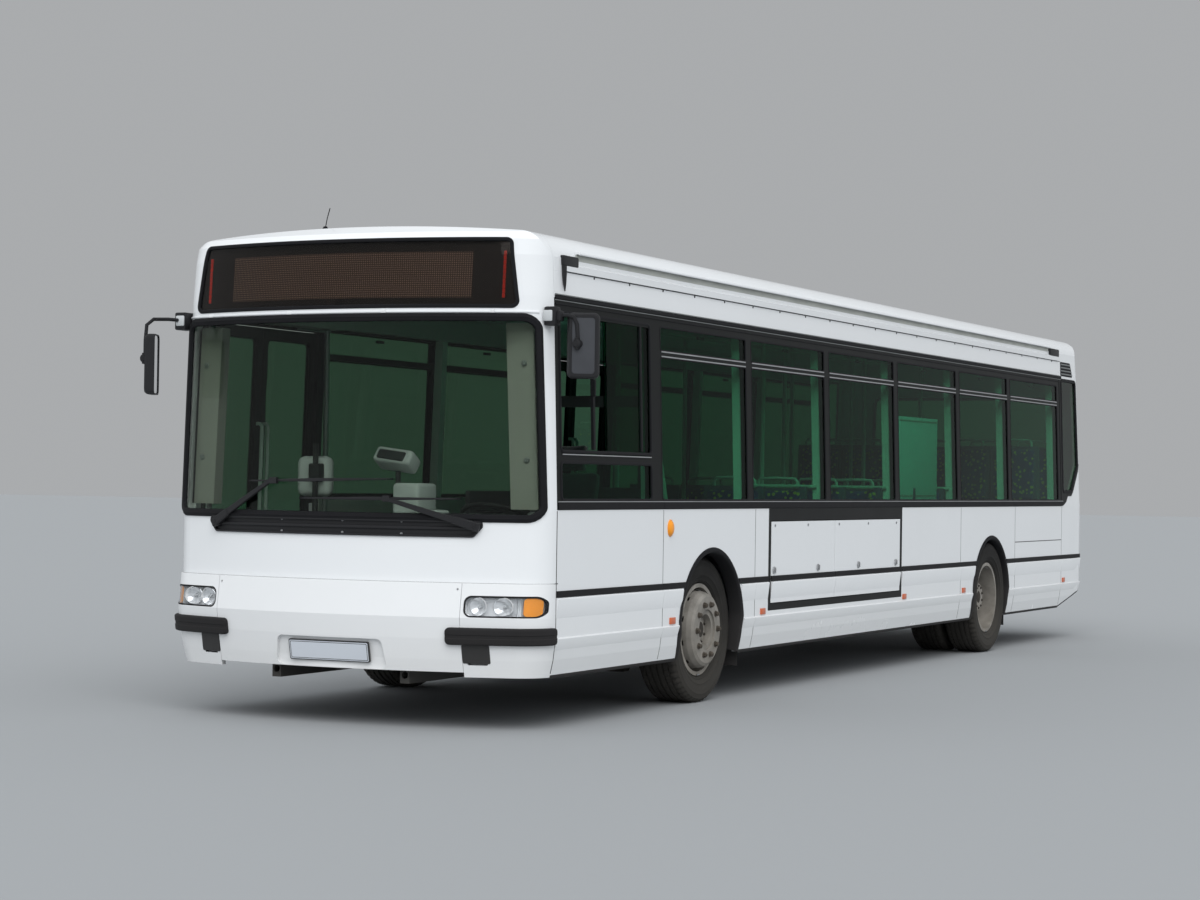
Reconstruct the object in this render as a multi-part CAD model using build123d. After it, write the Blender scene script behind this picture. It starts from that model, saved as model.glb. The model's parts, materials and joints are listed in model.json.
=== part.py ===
# Twelve-metre low-floor city bus, two axles, two double doors on its right-hand side.
# Millimetres. Origin on the ground below the middle of the plan, Z up.
# The front of the bus faces -Y, the driver sits on the +X side and the doors are on the -X side.
from functools import lru_cache
from math import atan2, degrees, sqrt
import os
from build123d import *

# Driving dimensions of the body
LENGTH = 11985
WIDTH = 2500
ROOF_TOP = 2872
SKIRT_BOTTOM = 303
WAIST = 1250              # bottom of the window band
BAND_TOP = 2457           # top of the window band
CANTRAIL_TOP = 2610       # top of the plain panel above the windows
NOSE_SPLIT = 834          # seam between the bumper and the front mask
WALL = 48                 # whole wall, skin to lining
SEAM = 3                  # open joint between two panels
SEAT = 0.3                # clearance where one fixed piece rests on another
GLASS = 6
GLASS_SET_BACK = 7        # how far a pane lies behind the skin
FRONT_SEAM_Y = -5550      # where the front mask meets the sides
REAR_SEAM_Y = 5055        # where the rear mask meets the sides
NOSE_RADIUS = 3050        # plan curve of the front
TAIL_RADIUS = 6500        # plan curve of the rear
FRONT_CORNER = 215
REAR_CORNER = 240
STEP_BACK = 20            # the mask stands this far behind the bumper

# Axles and wheels
FRONT_AXLE_Y = -3297.5
WHEELBASE = 6120
REAR_AXLE_Y = FRONT_AXLE_Y + WHEELBASE
TYRE_R = 470
TYRE_W = 275
RIM_LIP_R = 298
RIM_SEAT_R = 286
RIM_W = 215
FRONT_LIP_X = 1154        # outer lip of the front rim
REAR_LIP_X = 1206
TWIN_PITCH = 315
STUB_R = 36               # front wheel spindle
STUB_SHORT = 4            # the spindle ends this far before its bore does
SPINDLE_R = 44            # rear wheel spindle
KINGPIN_X = 930
ARCH_R = 530
ARCH_TOP = 1000

# Floor and frame
FLOOR_TOP = 370
FLOOR_T = 24
REAR_FLOOR_TOP = 770
REAR_STEP_Y = 2000
BULKHEAD_Y = 5180
BULKHEAD_T = 30
SHELF_TOP = 1330          # shelf behind the rear seats
RISER_T = 20
FLOOR_HALF = 1195

HALF = WIDTH / 2
NOSE = LENGTH / 2
TAIL = LENGTH / 2

# Outer form: height, half width, distance of the nose and of the tail from the middle
HULL = [
    (300, HALF - 35, NOSE - 68, TAIL - 30),
    (400, HALF - 14, NOSE - 43, TAIL - 15),
    (520, HALF, NOSE - 18, TAIL),
    (640, HALF, NOSE, TAIL),
    (NOSE_SPLIT - 2, HALF, NOSE - 27, TAIL),
    (NOSE_SPLIT, HALF, NOSE - 27 - STEP_BACK, TAIL),
    (WAIST, HALF, NOSE - 48, TAIL),
    (BAND_TOP, HALF - 40, NOSE - 62, TAIL - 55),
    (2690, HALF - 50, NOSE - 78, TAIL - 75),
    (2780, HALF - 55, NOSE - 98, TAIL - 95),
    (2825, HALF - 60, NOSE - 150, TAIL - 150),
    (2900, HALF - 70, NOSE - 330, TAIL - 330),
]
# Roof edge in section: shoulder, middle of the curve and start of the crown, as (x, z)
ROOF_EDGE = [(HALF - 52, 2690), (HALF - 112, 2795), (HALF - 205, 2834)]


def block(x0, x1, y0, y1, z0, z1):
    """A box between two corners."""
    middle = Pos((x0 + x1) / 2, (y0 + y1) / 2, (z0 + z1) / 2)
    return middle * Box(abs(x1 - x0), abs(y1 - y0), abs(z1 - z0))


def rod(start, end, radius):
    """A round bar between two points."""
    line = Edge.make_line(start, end)
    plane = Plane(origin=start, z_dir=line.tangent_at(0))
    return extrude(plane * Circle(radius), amount=line.length)


def left_and_right(solid):
    """A piece and its mirror image on the other side of the bus."""
    return [solid, mirror(solid, about=Plane.YZ)]


def half_width_at(z):
    """Half width of the outer skin at a height."""
    for (z0, w0, _, _), (z1, w1, _, _) in zip(HULL, HULL[1:]):
        if z <= z1:
            return w0 + (w1 - w0) * (z - z0) / (z1 - z0)
    return HULL[-1][1]


def plan_outline(half_width, nose, tail, inset):
    """Plan of the body at one height: two shallow arcs, two straight sides, four round corners."""
    w = half_width - inset
    nose_r = NOSE_RADIUS - inset
    tail_r = TAIL_RADIUS - inset
    y_front = -(nose - inset) + nose_r - sqrt(nose_r ** 2 - w ** 2)
    y_rear = (tail - inset) - tail_r + sqrt(tail_r ** 2 - w ** 2)
    edges = [
        ThreePointArc((-w, y_front), (0, -(nose - inset)), (w, y_front)),
        Line((w, y_front), (w, y_rear)),
        ThreePointArc((w, y_rear), (0, tail - inset), (-w, y_rear)),
        Line((-w, y_rear), (-w, y_front)),
    ]
    face = make_face(edges)
    face = fillet(face.vertices().sort_by(Axis.Y)[:2], FRONT_CORNER - inset)
    return fillet(face.vertices().sort_by(Axis.Y)[-2:], REAR_CORNER - inset)


def roof_form(inset):
    """Solid that cuts the loft to the roof's cross-section."""
    (x0, z0), (x1, z1), (x2, z2) = [(x - inset, z - inset) for x, z in ROOF_EDGE]
    wide = HALF + 100
    edges = [
        Line((-wide, 0), (wide, 0)),
        Line((wide, 0), (wide, z0)),
        Line((wide, z0), (x0, z0)),
        ThreePointArc((x0, z0), (x1, z1), (x2, z2)),
        ThreePointArc((x2, z2), (0, ROOF_TOP - inset), (-x2, z2)),
        ThreePointArc((-x2, z2), (-x1, z1), (-x0, z0)),
        Line((-x0, z0), (-wide, z0)),
        Line((-wide, z0), (-wide, 0)),
    ]
    return extrude(Plane.XZ * make_face(edges), amount=LENGTH, both=True)


@lru_cache(maxsize=None)
def hull(inset):
    """The whole outer form, moved inwards by inset. An inner form also runs out below."""
    drop = 100 if inset > 0 else 0
    sections = []
    for row, (z, half_width, nose, tail) in enumerate(HULL):
        height = z - drop if row == 0 else z
        sections.append(Pos(0, 0, height) * plan_outline(half_width, nose, tail, inset))
    return loft(sections, ruled=True) & roof_form(inset)


@lru_cache(maxsize=None)
def layer(outer, inner):
    """A shell of the body between two insets."""
    return hull(outer) - hull(inner)


def side_cut(y0, y1, z0, z1, radius, side=1, reach=400):
    """Rounded cutter through one side wall."""
    sketch = Pos((y0 + y1) / 2, (z0 + z1) / 2) * RectangleRounded(y1 - y0, z1 - z0, radius)
    return extrude(Plane.YZ.offset(side * HALF - reach) * sketch, amount=2 * reach)


def face_cut(points, radius, y0, y1):
    """Cutter with rounded corners, seen from the front, between two Y planes."""
    outline = make_face(Polyline(*points, close=True))
    outline = fillet(outline.vertices(), radius)
    return extrude(Plane.XZ.offset(-y0) * outline, amount=y0 - y1)


def trapezium(bottom_half, top_half, z0, z1):
    """Four corners of an upright trapezium about the centre line."""
    return [(-bottom_half, z0), (bottom_half, z0), (top_half, z1), (-top_half, z1)]


def rectangle(x0, x1, z0, z1):
    return [(x0, z0), (x1, z0), (x1, z1), (x0, z1)]


SKIN = layer(0, WALL)
CAVITY = hull(WALL + SEAT)    # everything inside the lining


# Front end
NOSE_Y = (FRONT_SEAM_Y, -6200)      # Y range of cutters for the front
WINDSCREEN = trapezium(1232, 1186, 1186, 2346)
WINDSCREEN_RADIUS = 78
DISPLAY = trapezium(1086, 1030, 2388, 2784)
DISPLAY_RADIUS = 34
COWL = trapezium(862, 934, 1092, 1183)
COWL_RADIUS = 20
CORNER_SEAM_X = 811
LAMP = rectangle(829, 1244, 643, 765)
LAMP_RADIUS = 42
STEP_POCKET = rectangle(838, 950, 372, 478)
BAR_Z = (488, 586)
BAR_PROUD = 27
BAR_INNER_X = 727
BAR_RADIUS = 22
TRAY = trapezium(370, 345, 334, 506)
TRAY_DEEP = 24


def shrink(points, gap):
    """The same outline with each corner drawn in towards the middle of the shape."""
    middle_x = sum(x for x, _ in points) / len(points)
    middle_z = sum(z for _, z in points) / len(points)
    inwards = lambda value, middle: value - gap if value > middle else value + gap
    return [(inwards(x, middle_x), inwards(z, middle_z)) for x, z in points]


def front_mask():
    mask = SKIN & block(-HALF - 50, HALF + 50, -6200, FRONT_SEAM_Y, NOSE_SPLIT + SEAT, 3000)
    mask -= face_cut(WINDSCREEN, WINDSCREEN_RADIUS, *NOSE_Y)
    mask -= face_cut(DISPLAY, DISPLAY_RADIUS, *NOSE_Y)
    return mask - face_cut(COWL, COWL_RADIUS, *NOSE_Y)


def front_pane(points, radius, set_back, thickness):
    """A pane that follows the curve of the nose inside one of its openings."""
    cutter = face_cut(shrink(points, SEAT), radius - SEAT, *NOSE_Y)
    return layer(set_back, set_back + thickness) & cutter


def wiper_cowl():
    return layer(5, 5 + 30) & face_cut(shrink(COWL, SEAT), COWL_RADIUS - SEAT, *NOSE_Y)


def front_bumper():
    zone = block(-CORNER_SEAM_X, CORNER_SEAM_X, -6200, FRONT_SEAM_Y, 330, NOSE_SPLIT)
    bumper = SKIN & zone
    tray = layer(-50, TRAY_DEEP) & face_cut(TRAY, 36, *NOSE_Y)
    return bumper - tray


def front_corners():
    zone = block(CORNER_SEAM_X + SEAM, HALF + 50, -6200, FRONT_SEAM_Y, SKIRT_BOTTOM, NOSE_SPLIT)
    corner = SKIN & zone
    corner -= face_cut(LAMP, LAMP_RADIUS, *NOSE_Y)
    corner -= layer(-50, 30) & face_cut(STEP_POCKET, 6, *NOSE_Y)
    return left_and_right(corner)


def headlamps():
    cutter = face_cut(shrink(LAMP, SEAT), LAMP_RADIUS - SEAT, *NOSE_Y)
    return left_and_right(layer(3, 43) & cutter)


def bumper_bars():
    zone = face_cut(rectangle(BAR_INNER_X, HALF + 90, *BAR_Z), BAR_RADIUS, FRONT_SEAM_Y + 10, -6200)
    bar = layer(-BAR_PROUD, -SEAT) & zone
    return left_and_right(bar)


# Sides: window openings as (first y, last y), from front to rear
LEFT_WINDOWS = [(-4095, -2705), (-2615, -1225), (-1135, 295), (385, 1865), (1955, 3335),
                (3425, 4955)]
DRIVER_WINDOW = (-5490, -4250)
DRIVER_RAIL_Z = 1545
WINDOW_BOTTOM = 1305
WINDOW_TOP = 2380
WINDOW_RADIUS = 30
HOPPER_Z = (2192, 2228)        # bar between the fixed pane and the hopper above it
FRAME_GAP = 1                  # rubber all round a pane, each side

DOOR_WIDTH = 1264
FRONT_DOOR_Y = -5494           # front edge of the front doorway
MIDDLE_DOOR_Y = -1062
DOORWAYS = [FRONT_DOOR_Y, MIDDLE_DOOR_Y]
DOOR_TOP = 2378
RIGHT_WINDOWS = [(-4150, -2705), (-2615, -1150), (290, 1865), (1955, 3335), (3425, 4955)]

# Lower panels on the driver's side, as (first y, last y, lowest z, highest z)
SERVICE_BAY = (-2336, 448, 556, WAIST)
LEFT_PANELS = [
    (FRONT_SEAM_Y, -4080, SKIRT_BOTTOM, WAIST),
    (-4080, -2575, SKIRT_BOTTOM, WAIST),
    (-2575, 1950, SKIRT_BOTTOM, WAIST),
    (1950, 3525, SKIRT_BOTTOM, WAIST),
    (3525, REAR_SEAM_Y, SKIRT_BOTTOM, 935),
    (3525, REAR_SEAM_Y, 935, WAIST),
]
RIGHT_PANELS = [
    (FRONT_SEAM_Y, FRONT_DOOR_Y, 366, WAIST),
    (FRONT_SEAM_Y, -4080, SKIRT_BOTTOM, 366),
    (FRONT_DOOR_Y + DOOR_WIDTH, -4080, 366, WAIST),
    (-4080, -2575, SKIRT_BOTTOM, WAIST),
    (-2575, MIDDLE_DOOR_Y, 366, WAIST),
    (-2575, 1950, SKIRT_BOTTOM, 366),
    (MIDDLE_DOOR_Y + DOOR_WIDTH, 1950, 366, WAIST),
    (1950, 3525, SKIRT_BOTTOM, WAIST),
    (3525, REAR_SEAM_Y, SKIRT_BOTTOM, WAIST),
]


def arch_cut(axle_y):
    """Wheel opening: a half round top on straight sides."""
    centre_z = ARCH_TOP - ARCH_R
    top = Pos(axle_y, centre_z) * Circle(ARCH_R)
    legs = Pos(axle_y, centre_z / 2) * Rectangle(2 * ARCH_R - 40, centre_z)
    return extrude(Plane.YZ * (top + legs), amount=HALF + 100, both=True)


def side_panels(table, side):
    """Lower panels of one side, each a solid of its own between open seams."""
    arches = arch_cut(FRONT_AXLE_Y) + arch_cut(REAR_AXLE_Y)
    panels = []
    for y0, y1, z0, z1 in table:
        top = z1 - SEAT if z1 == WAIST else z1 - SEAM
        inner, outer = sorted((side * 1000, side * (HALF + 50)))
        zone = block(inner, outer, y0 + SEAM / 2, y1 - SEAM / 2, z0, top)
        panels += ((SKIN & zone) - arches).solids()
    return panels


def side_panels_left():
    panels = side_panels(LEFT_PANELS, 1)
    y0, y1, z0, z1 = SERVICE_BAY
    bay = side_cut(y0, y1, z0, z1 + 50, 8)
    return [piece for panel in panels for piece in (panel - bay).solids()]


def side_panels_right():
    return side_panels(RIGHT_PANELS, -1)


# Service bay on the driver's side: a black frame and two flaps hinged along their top edges
BAY_FRAME = 46
BAY_SPLIT_Y = -1048
FLAP_GAP = 6
FLAP_T = 26
FLAP_LIP = 20                  # width of the lip that a flap closes against
BAY_HEAD = 82                  # header above the flaps, up to the window band


def service_frame():
    """Frame lining the bay, with the jamb between the two flaps."""
    y0, y1, z0, z1 = SERVICE_BAY
    outer = side_cut(y0 + SEAT, y1 - SEAT, z0 + SEAT, z1 + 50, 7)
    outer &= block(0, HALF + 500, y0, y1, z0, z1 - SEAT)
    inner = side_cut(y0 + BAY_FRAME, y1 - BAY_FRAME, z0 + BAY_FRAME, z1 - BAY_HEAD, 6)
    lip_hole = side_cut(y0 + BAY_FRAME + FLAP_LIP, y1 - BAY_FRAME - FLAP_LIP,
                        z0 + BAY_FRAME + FLAP_LIP, z1 - BAY_HEAD - FLAP_LIP, 6)
    mullion = block(1000, HALF + 50, BAY_SPLIT_Y - FLAP_LIP, BAY_SPLIT_Y + FLAP_LIP, z0, z1)
    frame = layer(0, WALL) & (outer - inner)
    lip = layer(FLAP_T + SEAT, WALL) & (outer - (lip_hole - mullion))
    return frame + lip


def service_flap(first):
    y0, y1, z0, z1 = SERVICE_BAY
    start = y0 + BAY_FRAME + FLAP_GAP if first else BAY_SPLIT_Y + FLAP_GAP / 2
    end = BAY_SPLIT_Y - FLAP_GAP / 2 if first else y1 - BAY_FRAME - FLAP_GAP
    zone = block(1000, HALF + 50, start, end, z0 + BAY_FRAME + FLAP_GAP,
                 z1 - BAY_HEAD - FLAP_GAP - 2)
    return layer(0, FLAP_T) & zone


def window_openings(rows):
    cuts = []
    for y0, y1 in rows:
        cuts.append(side_cut(y0, y1, WINDOW_BOTTOM, HOPPER_Z[0], WINDOW_RADIUS))
        cuts.append(side_cut(y0, y1, HOPPER_Z[1], WINDOW_TOP, WINDOW_RADIUS))
    return cuts


def driver_openings():
    y0, y1 = DRIVER_WINDOW
    low = side_cut(y0, y1, WINDOW_BOTTOM, DRIVER_RAIL_Z - 20, WINDOW_RADIUS)
    high = side_cut(y0, y1, DRIVER_RAIL_Z + 20, WINDOW_TOP - 20, WINDOW_RADIUS)
    return [low, high]


def window_band():
    """Uncut band of the window frames on the +X side."""
    return SKIN & block(1000, HALF + 50, FRONT_SEAM_Y + SEAM / 2, REAR_SEAM_Y - SEAM / 2,
                        WAIST, BAND_TOP)


def window_frame_left():
    return window_band().cut(*window_openings(LEFT_WINDOWS), *driver_openings())


def window_frame_right():
    """Cut on the +X side and mirrored to the side with the doors."""
    doorways = [side_cut(start, start + DOOR_WIDTH, WAIST - 100, DOOR_TOP, 12)
                for start in DOORWAYS]
    frame = window_band().cut(*window_openings(RIGHT_WINDOWS), *doorways)
    return mirror(frame, about=Plane.YZ)


def panes(rows):
    """Fixed pane and hopper pane of each window, following the lean of the wall."""
    sheet = layer(GLASS_SET_BACK, GLASS_SET_BACK + GLASS)
    result = []
    for y0, y1 in rows:
        for z0, z1 in ((WINDOW_BOTTOM, HOPPER_Z[0]), (HOPPER_Z[1], WINDOW_TOP)):
            cut = side_cut(y0 + FRAME_GAP / 2, y1 - FRAME_GAP / 2, z0 + FRAME_GAP / 2,
                           z1 - FRAME_GAP / 2, WINDOW_RADIUS - FRAME_GAP / 2)
            result.append(sheet & cut)
    return result


def driver_panes():
    """Low fixed pane, and the rear half of the window with the open sliding pane behind it."""
    y0, y1 = DRIVER_WINDOW
    slide_y = (y0 + y1) / 2 + 10
    low = side_cut(y0 + 0.5, y1 - 0.5, WINDOW_BOTTOM + 0.5, DRIVER_RAIL_Z - 20.5,
                   WINDOW_RADIUS - 0.5)
    high = side_cut(slide_y, y1 - 0.5, DRIVER_RAIL_Z + 20.5, WINDOW_TOP - 20.5, 8)
    outer = layer(GLASS_SET_BACK, GLASS_SET_BACK + GLASS)
    inner = layer(GLASS_SET_BACK + 16, GLASS_SET_BACK + 16 + GLASS)
    return [outer & low, outer & high, inner & high]


def side_windows_left():
    return panes(LEFT_WINDOWS) + driver_panes()


def side_windows_right():
    return [mirror(pane, about=Plane.YZ) for pane in panes(RIGHT_WINDOWS)]


def cantrails():
    zone = block(900, HALF + 50, FRONT_SEAM_Y + SEAM, REAR_SEAM_Y - SEAM,
                 BAND_TOP + SEAT, CANTRAIL_TOP - SEAT)
    return left_and_right(SKIN & zone)


# Roof with a gutter along each side and two hatches
GUTTER = [(HALF - 62, 2614), (HALF - 36, 2616), (HALF - 34, 2654), (HALF - 56, 2668),
          (HALF - 62, 2680)]
GUTTER_Y = (-5420, 5000)
HATCH_L = 780
HATCH_W = 640
HATCH_Y = (-2300, 1500)
HATCH_CURB = 30
HATCH_LID_T = 22
HATCH_RIM = 8             # overhang of the lid past its curb


def crown_z(x):
    """Height of the outer roof skin above a distance from the centre line."""
    edge_x, edge_z = ROOF_EDGE[2]
    rise = ROOF_TOP - edge_z
    radius = (edge_x ** 2 + rise ** 2) / (2 * rise)
    return ROOF_TOP - radius + sqrt(radius ** 2 - x ** 2)


def roof():
    zone = block(-HALF - 50, HALF + 50, FRONT_SEAM_Y + SEAM, REAR_SEAM_Y - SEAM,
                 CANTRAIL_TOP, 3000)
    shell = SKIN & zone
    strip = extrude(Plane.XZ.offset(-GUTTER_Y[1]) * make_face(Polyline(*GUTTER, close=True)),
                    amount=GUTTER_Y[1] - GUTTER_Y[0])
    shell = shell + strip + mirror(strip, about=Plane.YZ)
    for y in HATCH_Y:
        curb = block(-HATCH_W / 2, HATCH_W / 2, y - HATCH_L / 2, y + HATCH_L / 2,
                     2800, ROOF_TOP + HATCH_CURB)
        hole = block(-HATCH_W / 2 + 30, HATCH_W / 2 - 30, y - HATCH_L / 2 + 30,
                     y + HATCH_L / 2 - 30, 2700, 3000)
        shell = shell + (curb - hull(10)) - hole
    return shell


def roof_hatch(y):
    """Lid over one roof opening, a shallow tray turned down at its edges, hinged at its front."""
    z0 = ROOF_TOP + HATCH_CURB + SEAT
    half_w, half_l = HATCH_W / 2 + HATCH_RIM, HATCH_L / 2 + HATCH_RIM
    lid = block(-half_w, half_w, y - half_l, y + half_l, z0, z0 + HATCH_LID_T)
    return chamfer(lid.edges().group_by(Axis.Z)[-1], 14)


# Rear end
REAR_Y = (6200, 5300)
REAR_WINDOW = trapezium(950, 915, 1440, 2300)
ENGINE_DOOR = rectangle(-900, 900, 640, 1290)
ENGINE_DOOR_GAP = 7
ENGINE_DOOR_T = 30
REAR_LAMP = rectangle(985, 1095, 700, 1130)
QUARTER_WINDOW = [(5105, 1385), (5395, 1385), (5640, 1640), (5602, 2440), (5105, 2440)]


def quarter_cut(gap=0.0):
    """The raked window at the rear corner: its lower rear edge is cut off at a slant."""
    middle_y = sum(y for y, _ in QUARTER_WINDOW) / len(QUARTER_WINDOW)
    middle_z = sum(z for _, z in QUARTER_WINDOW) / len(QUARTER_WINDOW)
    points = [(y - gap if y > middle_y else y + gap, z - gap if z > middle_z else z + gap)
              for y, z in QUARTER_WINDOW]
    outline = make_face(Polyline(*points, close=True))
    outline = fillet(outline.vertices(), 30)
    return extrude(Plane.YZ.offset(HALF - 550) * outline, amount=700)


def rear_mask():
    mask = SKIN & block(-HALF - 50, HALF + 50, REAR_SEAM_Y, 6200, SKIRT_BOTTOM, 3000)
    mask -= face_cut(REAR_WINDOW, 70, *REAR_Y)
    rebate = layer(-50, ENGINE_DOOR_T + SEAT) & face_cut(ENGINE_DOOR, 25, *REAR_Y)
    lamp = face_cut(REAR_LAMP, 20, *REAR_Y)
    cuts = [rebate, face_cut(shrink(ENGINE_DOOR, 30), 20, *REAR_Y), departure_wedge()]
    cuts += left_and_right(quarter_cut()) + left_and_right(lamp)
    return mask.cut(*cuts)


def departure_wedge():
    """Upswept bottom of the rear overhang."""
    outline = Polyline((4930, 200), (6300, 200), (6300, 560), (5750, 440), (4930, 275), close=True)
    return extrude(Plane.YZ * make_face(outline), amount=HALF + 100, both=True)


def rear_window():
    sheet = layer(GLASS_SET_BACK, GLASS_SET_BACK + GLASS)
    back = sheet & face_cut(shrink(REAR_WINDOW, 0.5), 69.5, *REAR_Y)
    return [back] + left_and_right(sheet & quarter_cut(0.5))


def engine_door():
    cutter = face_cut(shrink(ENGINE_DOOR, ENGINE_DOOR_GAP), 18, *REAR_Y)
    return layer(0, ENGINE_DOOR_T) & cutter


def rear_lamps():
    cutter = face_cut(shrink(REAR_LAMP, SEAT), 20 - SEAT, *REAR_Y)
    return left_and_right(layer(-6, 36) & cutter)


# Frame, floor and wheel boxes
RAIL_X = 430
RAIL_W = 60
RAIL_HIGH_T = 90
RAIL_Z = (250, FLOOR_TOP - FLOOR_T - SEAT)
RAIL_FRONT_Y = -5820
TOW_R = 21                     # towing-eye socket in the front end of each rail
TOW_DEEP = 100
TOW_WALL = 30                  # solid metal behind the socket
CROSS_W = 50
CROSS_H = 40
AXLE_GAP = 90                  # half length of the rail's flat part over the front axle
RAIL_TAIL = 520                # end of the rails behind the bulkhead
TOW_Z = 298
OUTRIGGERS = [-5480, -4750, -4050, -2540, -1800, -1062, 202, 1100, 1980]
BOX_HALF_LENGTH = 575
BOX_WALL = 8
FRONT_BOX_INNER_X = 530
REAR_BOX_INNER_X = 600
FRONT_BOX_TOP = 1080
REAR_BOX_TOP = 1120


def chassis_frame():
    """Welded ladder: side rails that step up over the rear axle, crossmembers and outriggers."""
    low0, low1 = RAIL_Z
    high1 = REAR_FLOOR_TOP - FLOOR_T - SEAT
    high0 = high1 - RAIL_HIGH_T
    post_y = REAR_STEP_Y + SEAT
    tow_end = RAIL_FRONT_Y + TOW_DEEP + TOW_WALL
    arch = (FRONT_AXLE_Y - AXLE_GAP, FRONT_AXLE_Y + AXLE_GAP)
    tail = BULKHEAD_Y + RAIL_TAIL
    bore = Pos(RAIL_X, RAIL_FRONT_Y + TOW_DEEP / 2, TOW_Z) * Rot(90, 0, 0)
    x0, x1 = RAIL_X - RAIL_W / 2, RAIL_X + RAIL_W / 2
    tubes = [
        block(x0, x1, RAIL_FRONT_Y, tow_end, low0, low1) - bore * Cylinder(TOW_R, TOW_DEEP),
        block(x0, x1, tow_end, arch[0], low0, low1),
        block(x0, x1, *arch, low1 - 30, low1),
        block(x0, x1, arch[1], post_y + RAIL_W, low0, low1),
        block(x0, x1, post_y, post_y + RAIL_W, low1, high1),
        block(x0, x1, post_y + RAIL_W, tail, high0, high1),
        block(x0, x1, tail - RAIL_W, tail, 470, high0),
    ]
    bars = [(y, low1 - CROSS_H, low1, HALF) for y in OUTRIGGERS]
    bars += [(2180, high0, high1, 0), (3480, high0, high1, HALF), (4300, high0, high1, HALF)]
    middles = []
    for y, z0, z1, reach in bars:
        middles.append(block(-x0, x0, y - CROSS_W / 2, y + CROSS_W / 2, z0, z1))
        if reach:
            tubes.append(block(x1, reach, y - CROSS_W / 2, y + CROSS_W / 2, z0, z1) & CAVITY)
    return middles + [piece for tube in tubes for piece in left_and_right(tube)]


def floor():
    """Boards of the low floor and of the raised deck, the riser, a step and the engine bulkhead."""
    low0, deck0 = FLOOR_TOP - FLOOR_T, REAR_FLOOR_TOP - FLOOR_T
    reach = BOX_HALF_LENGTH + SEAT
    front_x = FRONT_BOX_INNER_X - BOX_WALL - SEAT
    rear_x = REAR_BOX_INNER_X - BOX_WALL - SEAT
    riser_y = REAR_STEP_Y - RISER_T
    front = (FRONT_AXLE_Y - reach, FRONT_AXLE_Y + reach)
    rear = (REAR_AXLE_Y - reach, REAR_AXLE_Y + reach)
    wall_y = BULKHEAD_Y - BULKHEAD_T
    half_rise = (REAR_FLOOR_TOP - FLOOR_TOP) / 2
    boards = [
        (FLOOR_HALF, -5800, front[0], low0, FLOOR_TOP),
        (front_x, *front, low0, FLOOR_TOP),
        (FLOOR_HALF, front[1], REAR_STEP_Y, low0, FLOOR_TOP),
        (FLOOR_HALF, riser_y, REAR_STEP_Y, FLOOR_TOP, deck0),
        (380, riser_y - 310, riser_y, FLOOR_TOP, FLOOR_TOP + half_rise),
        (FLOOR_HALF, riser_y, rear[0], deck0, REAR_FLOOR_TOP),
        (rear_x, *rear, deck0, REAR_FLOOR_TOP),
        (FLOOR_HALF, rear[1], BULKHEAD_Y, deck0, REAR_FLOOR_TOP),
        (FLOOR_HALF, wall_y, BULKHEAD_Y, REAR_FLOOR_TOP, SHELF_TOP - BULKHEAD_T),
        (FLOOR_HALF, wall_y, 5930, SHELF_TOP - BULKHEAD_T, SHELF_TOP),
    ]
    return [block(-half, half, y0, y1, z0, z1) & CAVITY for half, y0, y1, z0, z1 in boards]


def wheel_boxes():
    """Closed boxes over the wheels, open below and towards the side wall."""
    boxes = []
    table = ((FRONT_AXLE_Y, FRONT_BOX_INNER_X, FRONT_BOX_TOP, FLOOR_TOP - FLOOR_T),
             (REAR_AXLE_Y, REAR_BOX_INNER_X, REAR_BOX_TOP, REAR_FLOOR_TOP - FLOOR_T))
    reach = BOX_HALF_LENGTH
    for axle, inner, top, bottom in table:
        outside = block(inner - BOX_WALL, HALF, axle - reach, axle + reach, bottom, top)
        outside = chamfer(outside.edges().filter_by(Axis.X).group_by(Axis.Z)[-1], 150)
        inside = block(inner, HALF + 10, axle - reach + BOX_WALL, axle + reach - BOX_WALL,
                       bottom - 10, top - BOX_WALL)
        inside = chamfer(inside.edges().filter_by(Axis.X).group_by(Axis.Z)[-1], 146)
        boxes += left_and_right((outside - inside) & CAVITY)
    return boxes


# Axles
BEAM_HALF_Y = 45


def front_axle():
    """Forged beam, dropped between the wheels, with an eye for each kingpin."""
    outline = [(0, 175), (640, 175), (770, 395), (KINGPIN_X, 395), (KINGPIN_X, 545), (720, 545),
               (600, 245), (0, 245)]
    beam = make_face(Polyline(*outline, close=True))
    half = extrude(Plane.XZ * beam, amount=BEAM_HALF_Y, both=True)
    eye = Pos(KINGPIN_X, 0, TYRE_R) * Cylinder(52, 150)
    hole = Pos(KINGPIN_X, 0, TYRE_R) * Cylinder(24 + SEAT, 300)
    half = (half - block(KINGPIN_X, 1300, -100, 100, 0, 900)) + eye - hole
    both = half + mirror(half, about=Plane.YZ)
    for hanger in left_and_right(block(400, 460, -80, 80, 245, RAIL_Z[1] - 30 - SEAT)):
        both += hanger
    return Pos(0, FRONT_AXLE_Y, 0) * both


def knuckle(side):
    """Fork round the axle eye with its kingpin, and the stub that carries the wheel."""
    pin = Pos(0, 0, 0) * Cylinder(24, 260)
    fork = block(-50, 90, -50, 50, -125, 125) - block(-80, 62, -80, 80, -83, 83)
    fork = fork & (Cylinder(62, 300) + block(0, 100, -50, 50, -150, 150))
    plate = Pos(96, 0, 0) * Rot(0, 90, 0) * Cylinder(118, 14)
    stub_end = FRONT_LIP_X - RIM_W / 2 + HUB_BORE_X - STUB_SHORT - KINGPIN_X
    stub = Pos((89 + stub_end) / 2, 0, 0) * Rot(0, 90, 0) * Cylinder(STUB_R, stub_end - 89)
    part = pin + fork + plate + stub
    part = Pos(KINGPIN_X, FRONT_AXLE_Y, TYRE_R) * part
    return part if side > 0 else mirror(part, about=Plane.YZ)


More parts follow.
